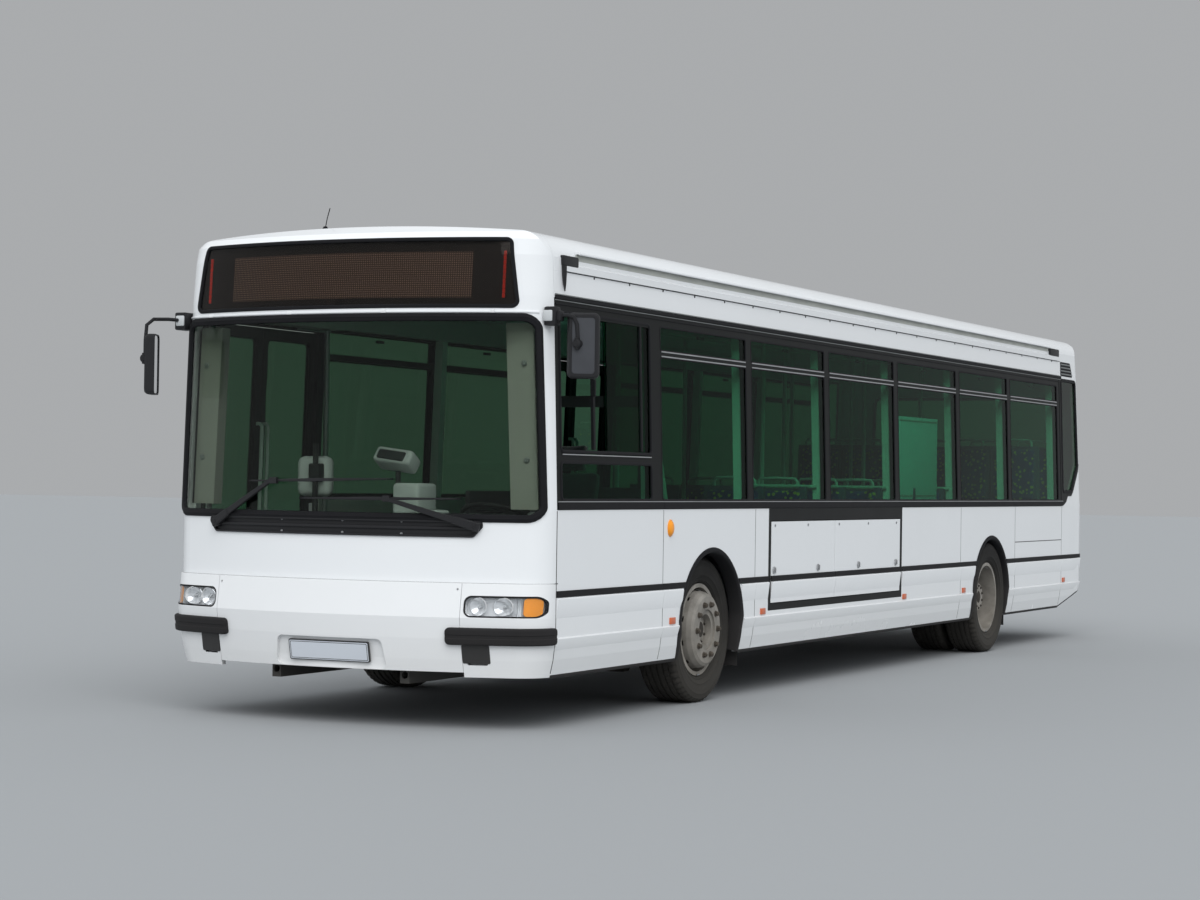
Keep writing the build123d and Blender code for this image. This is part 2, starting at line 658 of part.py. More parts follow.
def rear_axle():
    """Drive axle: round tubes, the final drive housing and the spring carriers."""
    tube = Pos(0, REAR_AXLE_Y, TYRE_R) * Rot(0, 90, 0) * Cylinder(62, 2 * 640)
    housing = Pos(0, REAR_AXLE_Y, TYRE_R) * Rot(0, 90, 0) * Cylinder(190, 240)
    nose = Pos(0, REAR_AXLE_Y + 180, TYRE_R) * Rot(90, 0, 0) * Cone(60, 110, 240)
    axle = tube + housing + nose
    carrier_z = (TYRE_R - 110, TYRE_R - 50)
    bag_top = REAR_FLOOR_TOP - FLOOR_T - SEAT - RAIL_HIGH_T - SEAT
    for side in (1, -1):
        spindle = Pos(side * 860, REAR_AXLE_Y, TYRE_R) * Rot(0, 90, 0) * Cylinder(SPINDLE_R, 514)
        carrier = block(side * 470, side * 560, REAR_AXLE_Y - 300, REAR_AXLE_Y + 300, *carrier_z)
        axle = axle + spindle + carrier
        for y in (REAR_AXLE_Y - 240, REAR_AXLE_Y + 240):
            bag = Cylinder(78, bag_top - carrier_z[1])
            axle += Pos(side * 515, y, (bag_top + carrier_z[1]) / 2) * bag
    return axle


# Wheels. A wheel is turned about X, its outer lip towards +X.
TYRE_SIDES = 40             # flats round a tyre: one of them stands on the ground
TYRE_HALF = [(RIM_SEAT_R + SEAT, 94), (RIM_LIP_R + 1, 94), (RIM_LIP_R + 16, 118),
             (404, TYRE_W / 2), (TYRE_R - 8, 118), (TYRE_R, 92)]


def turned(points):
    """Solid of revolution about X from (radius, x) pairs."""
    outline = make_face(Polyline(*[(x, r) for r, x in points], close=True))
    return revolve(outline, axis=Axis.X)


def flat_sided(points):
    """Solid with flats round it, from (distance of a flat from the axis, x) pairs."""
    turn = 180 / TYRE_SIDES
    sections = [Plane.YZ.offset(x) * RegularPolygon(r, TYRE_SIDES, major_radius=False,
                                                    rotation=turn) for r, x in points]
    return loft([section.face() for section in sections], ruled=True)


def tyre():
    """Casing with its tread ring, shoulders and side walls, hollow at the beads."""
    bead, lip_foot, lip_top, side, shoulder, tread = TYRE_HALF
    outside = [side, shoulder, tread]
    body = flat_sided([(r, -x) for r, x in outside] + outside[::-1])
    recess = flat_sided([lip_foot, lip_top, (side[0], side[1]), (side[0], side[1] + 5)])
    bore = flat_sided([(bead[0], -lip_foot[1] - 1), (bead[0], lip_foot[1] + 1)])
    return body - recess - mirror(recess, about=Plane.YZ) - bore


def rim_barrel():
    """Steel rim with its two turned-up lips, as (radius, x)."""
    w = RIM_W / 2
    return [(RIM_LIP_R, w), (RIM_LIP_R, w - 11), (RIM_SEAT_R, w - 13), (RIM_SEAT_R, -w + 13),
            (RIM_LIP_R, -w + 11), (RIM_LIP_R, -w), (RIM_SEAT_R - 12, -w), (RIM_SEAT_R - 14, w)]


HAND_HOLES = 10
HAND_HOLE_R = 22
HAND_HOLE_AT = (237, 62)     # distance from the axis and along it
FLANGE_X = 170               # outer face of the front wheel's flange, from the rim's middle
HUB_BORE_X = 100             # closed end of the hub's bore, from the rim's middle


def front_rim():
    """Front wheel: its disc stands out as a drum with a flat flange, hand holes near the rim."""
    edge = RIM_SEAT_R - 10
    disc = [(edge, 34), (262, 58), (252, 84), (246, 128), (232, FLANGE_X - 12),
            (214, FLANGE_X), (131, FLANGE_X), (131, FLANGE_X - 13), (210, FLANGE_X - 13),
            (222, FLANGE_X - 22), (234, 124), (240, 80), (252, 50), (264, 20), (edge, 10)]
    seat_x = FLANGE_X - 13 - SEAT
    hub = [(0, HUB_BORE_X), (0, 122), (58, 122), (70, 112), (100, 112), (100, seat_x),
           (146, seat_x), (146, 138), (118, 128), (112, 40), (76, -4),
           (STUB_R + SEAT, -4), (STUB_R + SEAT, HUB_BORE_X)]
    wheel = turned(rim_barrel()) + turned(disc)
    at, along = HAND_HOLE_AT
    hole = Pos(along, 0, at) * Rot(0, 90, 0) * Cylinder(HAND_HOLE_R, 90)
    for index in range(HAND_HOLES):
        wheel -= Rot(360 / HAND_HOLES * index, 0, 0) * hole
    return [wheel, turned(hub)]


def rear_rims():
    """Twin rims back to back: the outer disc is deeply dished, and the hub stands in the dish."""
    outer = turned(rim_barrel())
    inner = Pos(-TWIN_PITCH, 0, 0) * turned(rim_barrel())
    middle = -TWIN_PITCH / 2
    edge = RIM_SEAT_R - 10
    disc_outer = turned([(edge, -34), (edge, -52), (226, middle + 1), (100, middle + 1),
                         (100, middle + 16), (220, middle + 16)])
    disc_inner = turned([(edge, -TWIN_PITCH + 34), (edge, -TWIN_PITCH + 52), (226, middle - 1),
                         (100, middle - 1), (100, middle - 16), (220, middle - 16)])
    hub = turned([(SPINDLE_R + SEAT, middle - 40), (SPINDLE_R + SEAT, 20), (0, 20), (0, 40),
                  (112, 40), (124, 28), (130, middle + 12), (132, middle - 12),
                  (110, middle - 40)])
    wheel = outer + inner + disc_outer + disc_inner + hub
    wheel += turned([(120, middle - 8), (120, middle + 8), (180, middle + 8), (180, middle - 8)])
    hole = Pos(middle + 30, 0, 215) * Rot(0, 90, 0) * Cylinder(HAND_HOLE_R, 90)
    for index in range(HAND_HOLES):
        wheel -= Rot(360 / HAND_HOLES * index, 0, 0) * hole
    return wheel


def place_wheel(part, x, y, side):
    placed = Pos(x, y, TYRE_R) * part
    return placed if side > 0 else mirror(placed, about=Plane.YZ)


# Doors. Each leaf hangs on two arms of an upright post, turns square to the wall and glides inwards.
LEAF_GAP = 14
LEAF_T = 32
ARM_T = 10              # thickness of an arm
ARM_CLEAR = 6           # above and below an arm, to the leaf, the floor and the header
ARM_Z = (FLOOR_TOP + ARM_CLEAR + ARM_T / 2, DOOR_TOP - ARM_CLEAR - ARM_T / 2)
LEAF_BOTTOM = ARM_Z[0] + ARM_T / 2 + ARM_CLEAR
LEAF_TOP = ARM_Z[1] - ARM_T / 2 - ARM_CLEAR
LEAF_W = DOOR_WIDTH / 2 - LEAF_GAP - 5
POST_R = 18
POST_BACK = 30          # post centre behind the jamb, along the wall
POST_IN = 125           # post centre from the outer skin
PIVOT_IN = 102          # leaf pivot from the outer skin when closed
PIVOT_ALONG = 260       # leaf pivot from the leaf's jamb edge
ARM_R = 15
EAR_T = 14
PIN_R = 8
LEAF_FRAME = 58
LEAF_WINDOW_Z = (560, LEAF_TOP - 70)


def arm_length():
    return sqrt((LEAF_GAP + PIVOT_ALONG + POST_BACK) ** 2 + (PIVOT_IN - POST_IN) ** 2)


def leaf_span(start, first):
    """Y range of one leaf: first is the leaf at the front edge of its doorway."""
    if first:
        return start + LEAF_GAP, start + LEAF_GAP + LEAF_W
    end = start + DOOR_WIDTH - LEAF_GAP
    return end - LEAF_W, end


def post_point(start, first):
    """Centre of the post in plan."""
    y = start - POST_BACK if first else start + DOOR_WIDTH + POST_BACK
    return -HALF + POST_IN, y


def pivot_point(start, first):
    """Centre of the leaf's pivot in plan."""
    y0, y1 = leaf_span(start, first)
    y = y0 + PIVOT_ALONG if first else y1 - PIVOT_ALONG
    return -HALF + PIVOT_IN, y


def door_leaf(start, first):
    """Glazed leaf with the two ears and pins that the arms turn on."""
    y0, y1 = leaf_span(start, first)
    leaf = layer(0, LEAF_T) & block(-HALF - 50, -1000, y0, y1, LEAF_BOTTOM, LEAF_TOP)
    opening = side_cut(y0 + LEAF_FRAME, y1 - LEAF_FRAME, *LEAF_WINDOW_Z, 40, -1)
    pane_cut = side_cut(y0 + LEAF_FRAME + 0.5, y1 - LEAF_FRAME - 0.5, LEAF_WINDOW_Z[0] + 0.5,
                        LEAF_WINDOW_Z[1] - 0.5, 39.5, -1)
    pane = layer(8, 8 + GLASS) & pane_cut
    leaf = leaf - opening
    px, py = pivot_point(start, first)
    for z, low in zip(ARM_Z, (LEAF_BOTTOM, LEAF_TOP - EAR_T)):
        skin_x = LEAF_T - 6 - max(half_width_at(low), half_width_at(low + EAR_T))
        ear = block(skin_x, px, py - 14, py + 14, low, low + EAR_T)
        ear += Pos(px, py, low + EAR_T / 2) * Cylinder(14, EAR_T)
        ends = sorted((low + EAR_T / 2, z - ARM_T / 2, z + ARM_T / 2))
        pin = Pos(px, py, (ends[0] + ends[2]) / 2) * Cylinder(PIN_R, ends[2] - ends[0])
        leaf = leaf + ear + pin
    return [solid for part in (leaf, pane) for solid in part.solids()]


def door_post(start, first):
    """Upright post with a bottom and a top arm, each ending in an eye round the leaf's pin."""
    cx, cy = post_point(start, first)
    px, py = pivot_point(start, first)
    post = Cylinder(POST_R, DOOR_TOP - FLOOR_TOP - 2 * SEAT)
    post = Pos(cx, cy, (FLOOR_TOP + DOOR_TOP) / 2) * post
    length = arm_length()
    turn = degrees(atan2(py - cy, px - cx))
    for z in ARM_Z:
        bar = Pos(length / 2, 0, 0) * Box(length, 2 * ARM_R - 4, ARM_T)
        eye = Pos(length, 0, 0) * Cylinder(ARM_R, ARM_T)
        hole = Pos(length, 0, 0) * Cylinder(PIN_R + SEAT, 30)
        collar = Cylinder(POST_R + 8, ARM_T)
        arm = bar + eye - hole + collar
        post += Pos(cx, cy, z) * Rot(0, 0, turn) * arm
    return post


def door_headers():
    """Boxes over the doorways that hold the door gear and the tops of the posts."""
    headers = []
    for start in DOORWAYS:
        box = block(-1300, -1010, start - 60, start + DOOR_WIDTH + 60, DOOR_TOP, 2560)
        headers.append(box & CAVITY)
    return headers


# Inside
BINNACLE_Y = -5330
BINNACLE_Z = 1120


def dashboard():
    """Moulded dash below the windscreen with the driver's binnacle and the ticket desk."""
    base = block(-360, 1190, -5900, -5560, FLOOR_TOP + SEAT, 1080)
    binnacle = block(330, 1050, -5565, BINNACLE_Y, 760, BINNACLE_Z)
    binnacle = chamfer(binnacle.edges().filter_by(Axis.X).group_by(Axis.Z)[-1], 60)
    desk = block(-80, 240, -5570, -5180, FLOOR_TOP + SEAT, 1170)
    return (base + binnacle + desk) & CAVITY


STEERING_CENTRE = (690, -5190, 1190)
STEERING_R = 235
STEERING_TILT = 22


def steering_wheel():
    rim = Torus(STEERING_R - 15, 15)
    hub = Cylinder(55, 40)
    spokes = Box(2 * STEERING_R - 30, 34, 14)
    column = Pos(0, 0, -150) * Cylinder(34, 300)
    wheel = rim + hub + spokes + column
    placed = Pos(*STEERING_CENTRE) * Rot(-STEERING_TILT, 0, 0) * wheel
    return placed - block(200, 1190, -5900, BINNACLE_Y + SEAT, 300, BINNACLE_Z + SEAT)


def driver_seat():
    pedestal = block(560, 820, -4780, -4480, FLOOR_TOP + SEAT, 720)
    cushion = block(450, 930, -4880, -4400, 720, 840)
    back = Pos(690, -4390, 1160) * Rot(-10, 0, 0) * Box(470, 100, 660)
    head = Pos(690, -4320, 1560) * Rot(-10, 0, 0) * Box(270, 80, 170)
    seat = pedestal + fillet(cushion.edges().filter_by(Axis.Z), 60) + back + head
    return seat


def driver_partition():
    """Half-height wall with a glazed top behind and beside the driver."""
    behind = block(330, 1195, -4130, -4100, FLOOR_TOP + SEAT, 1950) & CAVITY
    beside = block(330, 360, -4950, -4100, FLOOR_TOP + SEAT, 1350)
    window = block(420, 1090, -4200, -4000, 1380, 1880)
    return behind + beside - window


SEAT_W = 440
# Rows of seats: middle in x, back in y, floor height and 1 facing front or -1 facing rear
LOW, HIGH = FLOOR_TOP, REAR_FLOOR_TOP
SEAT_ROWS = [
    (960, -2300, LOW, 1), (960, -1500, LOW, 1), (960, -700, LOW, 1), (960, 100, LOW, 1),
    (960, 900, LOW, 1), (960, 1650, LOW, 1), (500, 800, LOW, 1), (500, 1550, LOW, 1),
    (-960, -1400, LOW, 1), (-960, 1650, LOW, 1), (-960, 700, LOW, -1),
    (960, 4450, HIGH, 1), (500, 4450, HIGH, 1), (-960, 4450, HIGH, 1), (-500, 4450, HIGH, 1),
    (960, 5040, HIGH, 1), (500, 5040, HIGH, 1), (0, 5040, HIGH, 1), (-500, 5040, HIGH, 1),
    (-960, 5040, HIGH, 1),
]


def passenger_seat(x, y, base, facing):
    """Moulded shell: raked back, cushion and one pedestal."""
    shell = [(-400, 410), (60, 385), (100, 420), (60, 1030), (20, 1030), (-20, 480), (-400, 470)]
    body = extrude(Plane.YZ * make_face(Polyline(*shell, close=True)), amount=SEAT_W / 2, both=True)
    leg = block(-60, 60, -180, -60, 0, 405)
    seat = body + leg
    turned_seat = seat if facing > 0 else Rot(0, 0, 180) * seat
    return Pos(x, y, base + SEAT) * turned_seat


def passenger_seats():
    return [passenger_seat(*row) for row in SEAT_ROWS]


POLE_R = 17
# Upright poles as (x, y, height of the floor below)
POLES = [(320, -2800, LOW), (-420, -2500, LOW), (700, -1120, LOW), (-560, 330, LOW),
         (300, 330, LOW), (330, 2100, HIGH), (-330, 2100, HIGH), (330, 3600, HIGH),
         (-330, 3600, HIGH)]


def handrails():
    """Poles from the floor to the ceiling."""
    return [rod((x, y, base + SEAT), (x, y, 3000), POLE_R) & CAVITY for x, y, base in POLES]


def engine():
    """The engine and gearbox as one block across the rear overhang."""
    top = REAR_FLOOR_TOP - FLOOR_T - RAIL_HIGH_T - 2 * SEAT
    return block(-360, 360, 3560, 5560, 400, top)


# Mirrors, each on tube brackets from the top of the windscreen pillar
def mirror_left():
    foot = block(1160, 1262, -5640, -5570, 2285, 2400)
    foot = foot - hull(-SEAT)
    arm = rod((1255, -5600, 2345), (1372, -5560, 2330), 11)
    drop = rod((1372, -5560, 2336), (1372, -5560, 2190), 10)
    ball = Pos(1372, -5560, 2190) * Sphere(24)
    head = Pos(1385, -5520, 2180) * Rot(0, 0, 26) * Box(180, 62, 372)
    head = fillet(head.edges().filter_by(Axis.Z), 18)
    return foot + arm + drop + ball + head


def mirror_right():
    foot = block(-1262, -1120, -5700, -5590, 2290, 2400) - hull(-SEAT)
    arm = rod((-1225, -5660, 2350), (-1310, -5930, 2330), 12)
    drop = rod((-1310, -5930, 2342), (-1310, -5930, 2080), 11)
    ball = Pos(-1310, -5930, 2090) * Sphere(24)
    head = Pos(-1290, -5905, 2075) * Rot(0, 0, -64) * Box(180, 60, 360)
    head = fillet(head.edges().filter_by(Axis.Z), 18)
    return foot + arm + drop + ball + head


# Wipers seen from the front: pivot, arm's tip and the two ends of the blade, each as (x, z)
WIPERS = [((-846, 1150), (-412, 1394), (-600, 1391), (396, 1413)),
          ((872, 1153), (359, 1301), (-216, 1296), (790, 1306))]
ARM_INSET = (-36, -16)
BLADE_INSET = (-24, -4)
HUB_R = 24


def bar_cut(start, end, wide_start, wide_end):
    """Tapered strip between two points seen from the front, as a cutter."""
    (x0, z0), (x1, z1) = start, end
    length = sqrt((x1 - x0) ** 2 + (z1 - z0) ** 2)
    across_x, across_z = (z1 - z0) / length / 2, (x0 - x1) / length / 2
    corners = [(x0 + across_x * wide_start, z0 + across_z * wide_start),
               (x1 + across_x * wide_end, z1 + across_z * wide_end),
               (x1 - across_x * wide_end, z1 - across_z * wide_end),
               (x0 - across_x * wide_start, z0 - across_z * wide_start)]
    outline = make_face(Polyline(*corners, close=True))
    return extrude(Plane.XZ.offset(-NOSE_Y[0]) * outline, amount=NOSE_Y[0] - NOSE_Y[1])


def wipers():
    """Two arms, each with its blade, which follow the curve of the glass."""
    sets = []
    for pivot, tip, start, end in WIPERS:
        arm = layer(*ARM_INSET) & bar_cut(pivot, tip, 34, 16)
        blade = layer(*BLADE_INSET) & bar_cut(start, end, 14, 14)
        hub_cut = extrude(Plane.XZ.offset(-NOSE_Y[0]) * Pos(*pivot) * Circle(HUB_R),
                          amount=NOSE_Y[0] - NOSE_Y[1])
        hub = layer(ARM_INSET[0], 5 - SEAT) & hub_cut
        sets.append(arm + blade + hub)
    return sets


NODES = {
    "front_mask": front_mask,
    "windscreen": lambda: front_pane(WINDSCREEN, WINDSCREEN_RADIUS, 8, GLASS),
    "display_glass": lambda: front_pane(DISPLAY, DISPLAY_RADIUS, 4, GLASS),
    "wiper_cowl": wiper_cowl,
    "front_bumper": front_bumper,
    "front_corners": front_corners,
    "bumper_bars": bumper_bars,
    "headlamps": headlamps,
    "side_panels_left": side_panels_left,
    "side_panels_right": side_panels_right,
    "service_frame": service_frame,
    "service_flap_front": lambda: service_flap(True),
    "service_flap_rear": lambda: service_flap(False),
    "window_frame_left": window_frame_left,
    "window_frame_right": window_frame_right,
    "side_windows_left": side_windows_left,
    "side_windows_right": side_windows_right,
    "cantrails": cantrails,
    "roof": roof,
    "roof_hatch_front": lambda: roof_hatch(HATCH_Y[0]),
    "roof_hatch_rear": lambda: roof_hatch(HATCH_Y[1]),
    "rear_mask": rear_mask,
    "rear_window": rear_window,
    "engine_door": engine_door,
    "rear_lamps": rear_lamps,
    "chassis_frame": chassis_frame,
    "floor": floor,
    "wheel_boxes": wheel_boxes,
    "front_axle": front_axle,
    "knuckle_left": lambda: knuckle(1),
    "knuckle_right": lambda: knuckle(-1),
    "rear_axle": rear_axle,
    "dashboard": dashboard,
    "steering_wheel": steering_wheel,
    "driver_seat": driver_seat,
    "driver_partition": driver_partition,
    "passenger_seats": passenger_seats,
    "handrails": handrails,
    "engine": engine,
    "wipers": wipers,
    "mirror_left": mirror_left,
    "mirror_right": mirror_right,
    "door_headers": door_headers,
}


def wheel_nodes():
    """Tyres and rims of the four wheel positions."""
    front_x = FRONT_LIP_X - RIM_W / 2
    rear_x = REAR_LIP_X - RIM_W / 2
    nodes = {}
    for name, side in (("left", 1), ("right", -1)):
        nodes["tyre_front_" + name] = [place_wheel(tyre(), front_x, FRONT_AXLE_Y, side)]
        nodes["rim_front_" + name] = [place_wheel(piece, front_x, FRONT_AXLE_Y, side)
                                      for piece in front_rim()]
        nodes["tyre_rear_" + name] = [place_wheel(tyre(), rear_x - back, REAR_AXLE_Y, side)
                                      for back in (0, TWIN_PITCH)]
        nodes["rim_rear_" + name] = [place_wheel(rear_rims(), rear_x, REAR_AXLE_Y, side)]
    return nodes


def door_nodes():
    """Leaf and post of each half of the two doorways."""
    nodes = {}
    for doorway, start in zip(("front", "middle"), DOORWAYS):
        for half, first in (("a", True), ("b", False)):
            nodes["door_leaf_%s_%s" % (doorway, half)] = door_leaf(start, first)
            nodes["door_post_%s_%s" % (doorway, half)] = [door_post(start, first)]
    return nodes


def as_compound(name, shapes):
    solids = [solid for shape in shapes for solid in shape.solids()]
    return Compound(label=name, children=solids) if len(solids) > 1 else solids[0]


os.makedirs("parts", exist_ok=True)
pieces = {}
for name, make in NODES.items():
    made = make()
    pieces[name] = made if isinstance(made, list) else [made]
pieces.update(wheel_nodes())
pieces.update(door_nodes())
for name, shapes in pieces.items():
    export_step(as_compound(name, shapes), "parts/%s.step" % name)
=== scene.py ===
# %% [markdown]
# # A low-floor city bus
#
# This lesson dresses a finished construction model of a twelve-metre city bus: its sheet metal,
# glass, rubber, wheels and cabin. The construction arrives as a fixed frame, in metres, with +Z
# up, the front towards -Y and the driver on the +X side. Nothing of it is moved here. Each step
# gives a part its finish, or adds the small pieces that a stand-in would lack.

# %% Load the frame
import json
from math import asin, atan2, ceil, cos, pi, radians, sin, sqrt, tan

import bmesh
import bpy
from mathutils import Matrix, Vector


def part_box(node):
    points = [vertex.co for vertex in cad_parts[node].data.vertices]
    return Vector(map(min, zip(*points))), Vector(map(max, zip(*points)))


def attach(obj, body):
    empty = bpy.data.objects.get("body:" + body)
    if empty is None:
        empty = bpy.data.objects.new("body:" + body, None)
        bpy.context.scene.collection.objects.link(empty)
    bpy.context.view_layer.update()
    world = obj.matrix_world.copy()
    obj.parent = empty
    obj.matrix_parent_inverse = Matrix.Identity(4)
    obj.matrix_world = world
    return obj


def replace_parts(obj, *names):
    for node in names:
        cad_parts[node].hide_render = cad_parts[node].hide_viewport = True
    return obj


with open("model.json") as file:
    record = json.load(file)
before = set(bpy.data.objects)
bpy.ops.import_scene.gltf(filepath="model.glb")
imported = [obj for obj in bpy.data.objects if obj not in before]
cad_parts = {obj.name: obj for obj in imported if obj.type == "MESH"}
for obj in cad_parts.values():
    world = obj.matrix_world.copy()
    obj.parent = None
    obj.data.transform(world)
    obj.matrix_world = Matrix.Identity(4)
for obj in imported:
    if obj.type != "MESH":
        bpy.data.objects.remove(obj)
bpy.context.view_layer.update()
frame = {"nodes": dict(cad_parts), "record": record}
nodes = frame["nodes"]

# %% [markdown]
# ## The camera
#
# The bus fills a long, compressed view: a lens of about 76 mm stands 15 m in front of the nose,
# 7.7 m to the driver's side and at 1.4 m, the height of a person's eyes. It could be aimed with a
# constraint, but the view has a small roll too, so the three axes of the camera are written out
# and put in a matrix.

# %% Camera
CAMERA_AT = Vector((7.6899, -18.4199, 1.4112))
CAMERA_YAW = 0.4475      # turned from +Y towards -X
CAMERA_PITCH = 0.0127
CAMERA_ROLL = 0.0146
LENS_MM = 76.34
SENSOR_MM = 36.0


def camera_matrix(place, yaw, pitch, roll):
    """Camera axes from its angles: it looks along +Y at yaw 0 and along -X at a quarter turn."""
    ahead = Vector((-sin(yaw) * cos(pitch), cos(yaw) * cos(pitch), sin(pitch)))
    level = Vector((cos(yaw), sin(yaw), 0))
    upright = level.cross(ahead)
    right = level * cos(roll) + upright * sin(roll)
    up = upright * cos(roll) - level * sin(roll)
    matrix = Matrix((right, up, -ahead)).transposed().to_4x4()
    matrix.translation = place
    return matrix


camera = bpy.data.objects.new("Camera", bpy.data.cameras.new("Camera"))
bpy.context.scene.collection.objects.link(camera)
camera.data.lens = LENS_MM
camera.data.sensor_width = SENSOR_MM
camera.data.clip_end = 500
camera.matrix_world = camera_matrix(CAMERA_AT, CAMERA_YAW, CAMERA_PITCH, CAMERA_ROLL)
bpy.context.scene.camera = camera

# %% [markdown]
# ## Helpers for node trees
#
# Every world and every finish is a tree of nodes, so a few short functions add them: one sets
# inputs by name, whether from a number or from another node, one adds a node of any kind, one does
# arithmetic, and one starts a material. Written out by hand each node would take five lines.

# %% Node helpers
def put(node, values):
    """Feed a node's inputs, each from an output socket or with a plain value."""
    for key, value in values.items():
        if isinstance(value, bpy.types.NodeSocket):
            node.id_data.links.new(value, node.inputs[key])
        else:
            node.inputs[key].default_value = value


def add(tree, kind, place=(0, 0), inputs=None, **settings):
    """A node with some of its settings and inputs."""
    node = tree.nodes.new("ShaderNode" + kind)
    node.location = place
    for name, value in settings.items():
        setattr(node, name, value)
    put(node, inputs or {})
    return node


def math(tree, operation, first, second=0.0, clamp=False):
    """Result of a Math node on sockets or numbers."""
    return add(tree, "Math", (500, 0), {0: first, 1: second}, operation=operation,
               use_clamp=clamp).outputs[0]


def new_nodes(owner):
    """Empty node tree of a material or a world."""
    owner.use_nodes = True
    owner.node_tree.nodes.clear()
    return owner.node_tree


def new_material(name, inputs):
    """A material, its node tree and its Principled shader with some inputs."""
    material = bpy.data.materials.new(name)
    tree = new_nodes(material)
    shader = add(tree, "BsdfPrincipled", (600, 0), inputs)
    add(tree, "OutputMaterial", (900, 0), {0: shader.outputs[0]})
    return material, tree, shader


def link(name, data):
    """A new object in the scene."""
    made = bpy.data.objects.new(name, data)
    bpy.context.scene.collection.objects.link(made)
    return made


print("node helpers ready")

# %% [markdown]
# ## The studio
#
# A white bus needs a background that is a little darker than its paint. The floor is one large
# pale plane. The world shows the same pale grey to the camera and in reflections, and lights the
# bus from all sides like an overcast sky. A single soft sun from the front left of the driver's
# side gives the panels their shading and the bus its shadow. Area lamps would work too, but at
# this size they need kilowatts.
#
# All nodes of this lesson come from one helper. It feeds each input from another node's socket, or
# sets it to a plain number or colour.

# %% Studio
PALE = (0.40, 0.41, 0.42, 1)
FLOOR_COLOUR = (0.31, 0.32, 0.33, 1)
FLOOR_SIZE = 240.0
SKY_LIGHT = (0.93, 0.97, 1.0, 1)
SKY_STRENGTH = 0.95
SUN_DIRECTION = (-0.45, 0.75, -0.9)
SUN_STRENGTH = 1.85
SUN_WIDTH = radians(50)


def studio_world():
    """Pale grey where it is seen or mirrored, and an even sky as light."""
    world = bpy.context.scene.world = bpy.data.worlds.new("Studio")
    tree = new_nodes(world)
    rays = add(tree, "LightPath", (-200, 0)).outputs
    seen = math(tree, "MAXIMUM", rays["Is Camera Ray"], rays["Is Glossy Ray"])
    seen = math(tree, "MAXIMUM", seen, rays["Is Transmission Ray"])
    sky = add(tree, "Background", (500, 200), {"Color": SKY_LIGHT, "Strength": SKY_STRENGTH})
    backdrop = add(tree, "Background", (500, -200), {"Color": PALE})
    mix = add(tree, "MixShader", (700, 0), {0: seen, 1: sky.outputs[0], 2: backdrop.outputs[0]})
    add(tree, "OutputWorld", (900, 0), {0: mix.outputs[0]})


def floor_plane():
    """Pale matt floor below the wheels."""
    mesh = bpy.data.meshes.new("Floor")
    s = FLOOR_SIZE / 2
    mesh.from_pydata([(-s, -s, 0), (s, -s, 0), (s, s, 0), (-s, s, 0)], [], [(0, 1, 2, 3)])
    mesh.materials.append(new_material("Studio floor", {
        "Base Color": FLOOR_COLOUR, "Roughness": 0.9, "Specular IOR Level": 0.1})[0])
    link("Floor", mesh)


def soft_sun():
    lamp = bpy.data.lights.new("Key", "SUN")
    lamp.energy = SUN_STRENGTH
    lamp.angle = SUN_WIDTH
    holder = link("Key", lamp)
    holder.rotation_mode = "QUATERNION"
    holder.rotation_quaternion = Vector(SUN_DIRECTION).to_track_quat("-Z", "Y")
    # Its mirror image would be a wide hard-edged disc on the curved corners and the glass
    holder.visible_glossy = False


studio_world()
floor_plane()
soft_sun()
bpy.context.scene.view_settings.view_transform = "Standard"
print("view transform", bpy.context.scene.view_settings.view_transform)

# %% [markdown]
# ## Effects that several finishes share
#
# Sheet metal, rubber and plastic age in the same few ways, so each effect is one shader group with
# named inputs. The groups read object coordinates: every piece has its origin on the ground below
# the middle of the bus, so its coordinates are metres from there, and they stay with a wheel or a
# flap as it moves.
#
# - Mottle is a soft, cloudy variation of colour and gloss. - Road film is the dust that spray
# leaves on the lower body, denser towards the ground. - Grain is the fine relief of paint, rubber
# or moulded plastic, as a height for a Bump node.

# %% Shader groups
def group(name, inputs, output):
    """An empty shader group with one output. Returns its tree, its input sockets and its end."""
    tree = bpy.data.node_groups.new(name, "ShaderNodeTree")
    for label, value in inputs.items():
        tree.interface.new_socket(name=label, in_out="INPUT",
                                  socket_type="NodeSocketFloat").default_value = value
    tree.interface.new_socket(name=output, in_out="OUTPUT", socket_type="NodeSocketFloat")
    return tree, tree.nodes.new("NodeGroupInput").outputs, tree.nodes.new("NodeGroupOutput")


def object_place(tree):
    return add(tree, "TexCoord", (-700, 0)).outputs["Object"]


def noise(tree, vector, scale, detail, roughness):
    return add(tree, "TexNoise", (300, 0), {"Vector": vector, "Scale": scale, "Detail": detail,
                                            "Roughness": roughness}).outputs["Fac"]


def ramp(tree, value, low, high, to_low=0.0, to_high=1.0):
    """A smooth rise from to_low to to_high while the value goes from low to high."""
    return add(tree, "MapRange", (500, -200), {
        "Value": value, "From Min": low, "From Max": high, "To Min": to_low, "To Max": to_high},
        interpolation_type="SMOOTHSTEP").outputs["Result"]


def mottle_group():
    tree, entry, end = group("Mottle", {"Scale": 2.0, "Contrast": 0.5}, "Mask")
    cloud = noise(tree, object_place(tree), entry["Scale"], 6.0, 0.6)
    spread = math(tree, "MULTIPLY", math(tree, "SUBTRACT", cloud, 0.5), entry["Contrast"])
    scaled = math(tree, "MULTIPLY", spread, 4.0)
    put(end, {"Mask": math(tree, "ADD", scaled, 0.5, clamp=True)})
    return tree


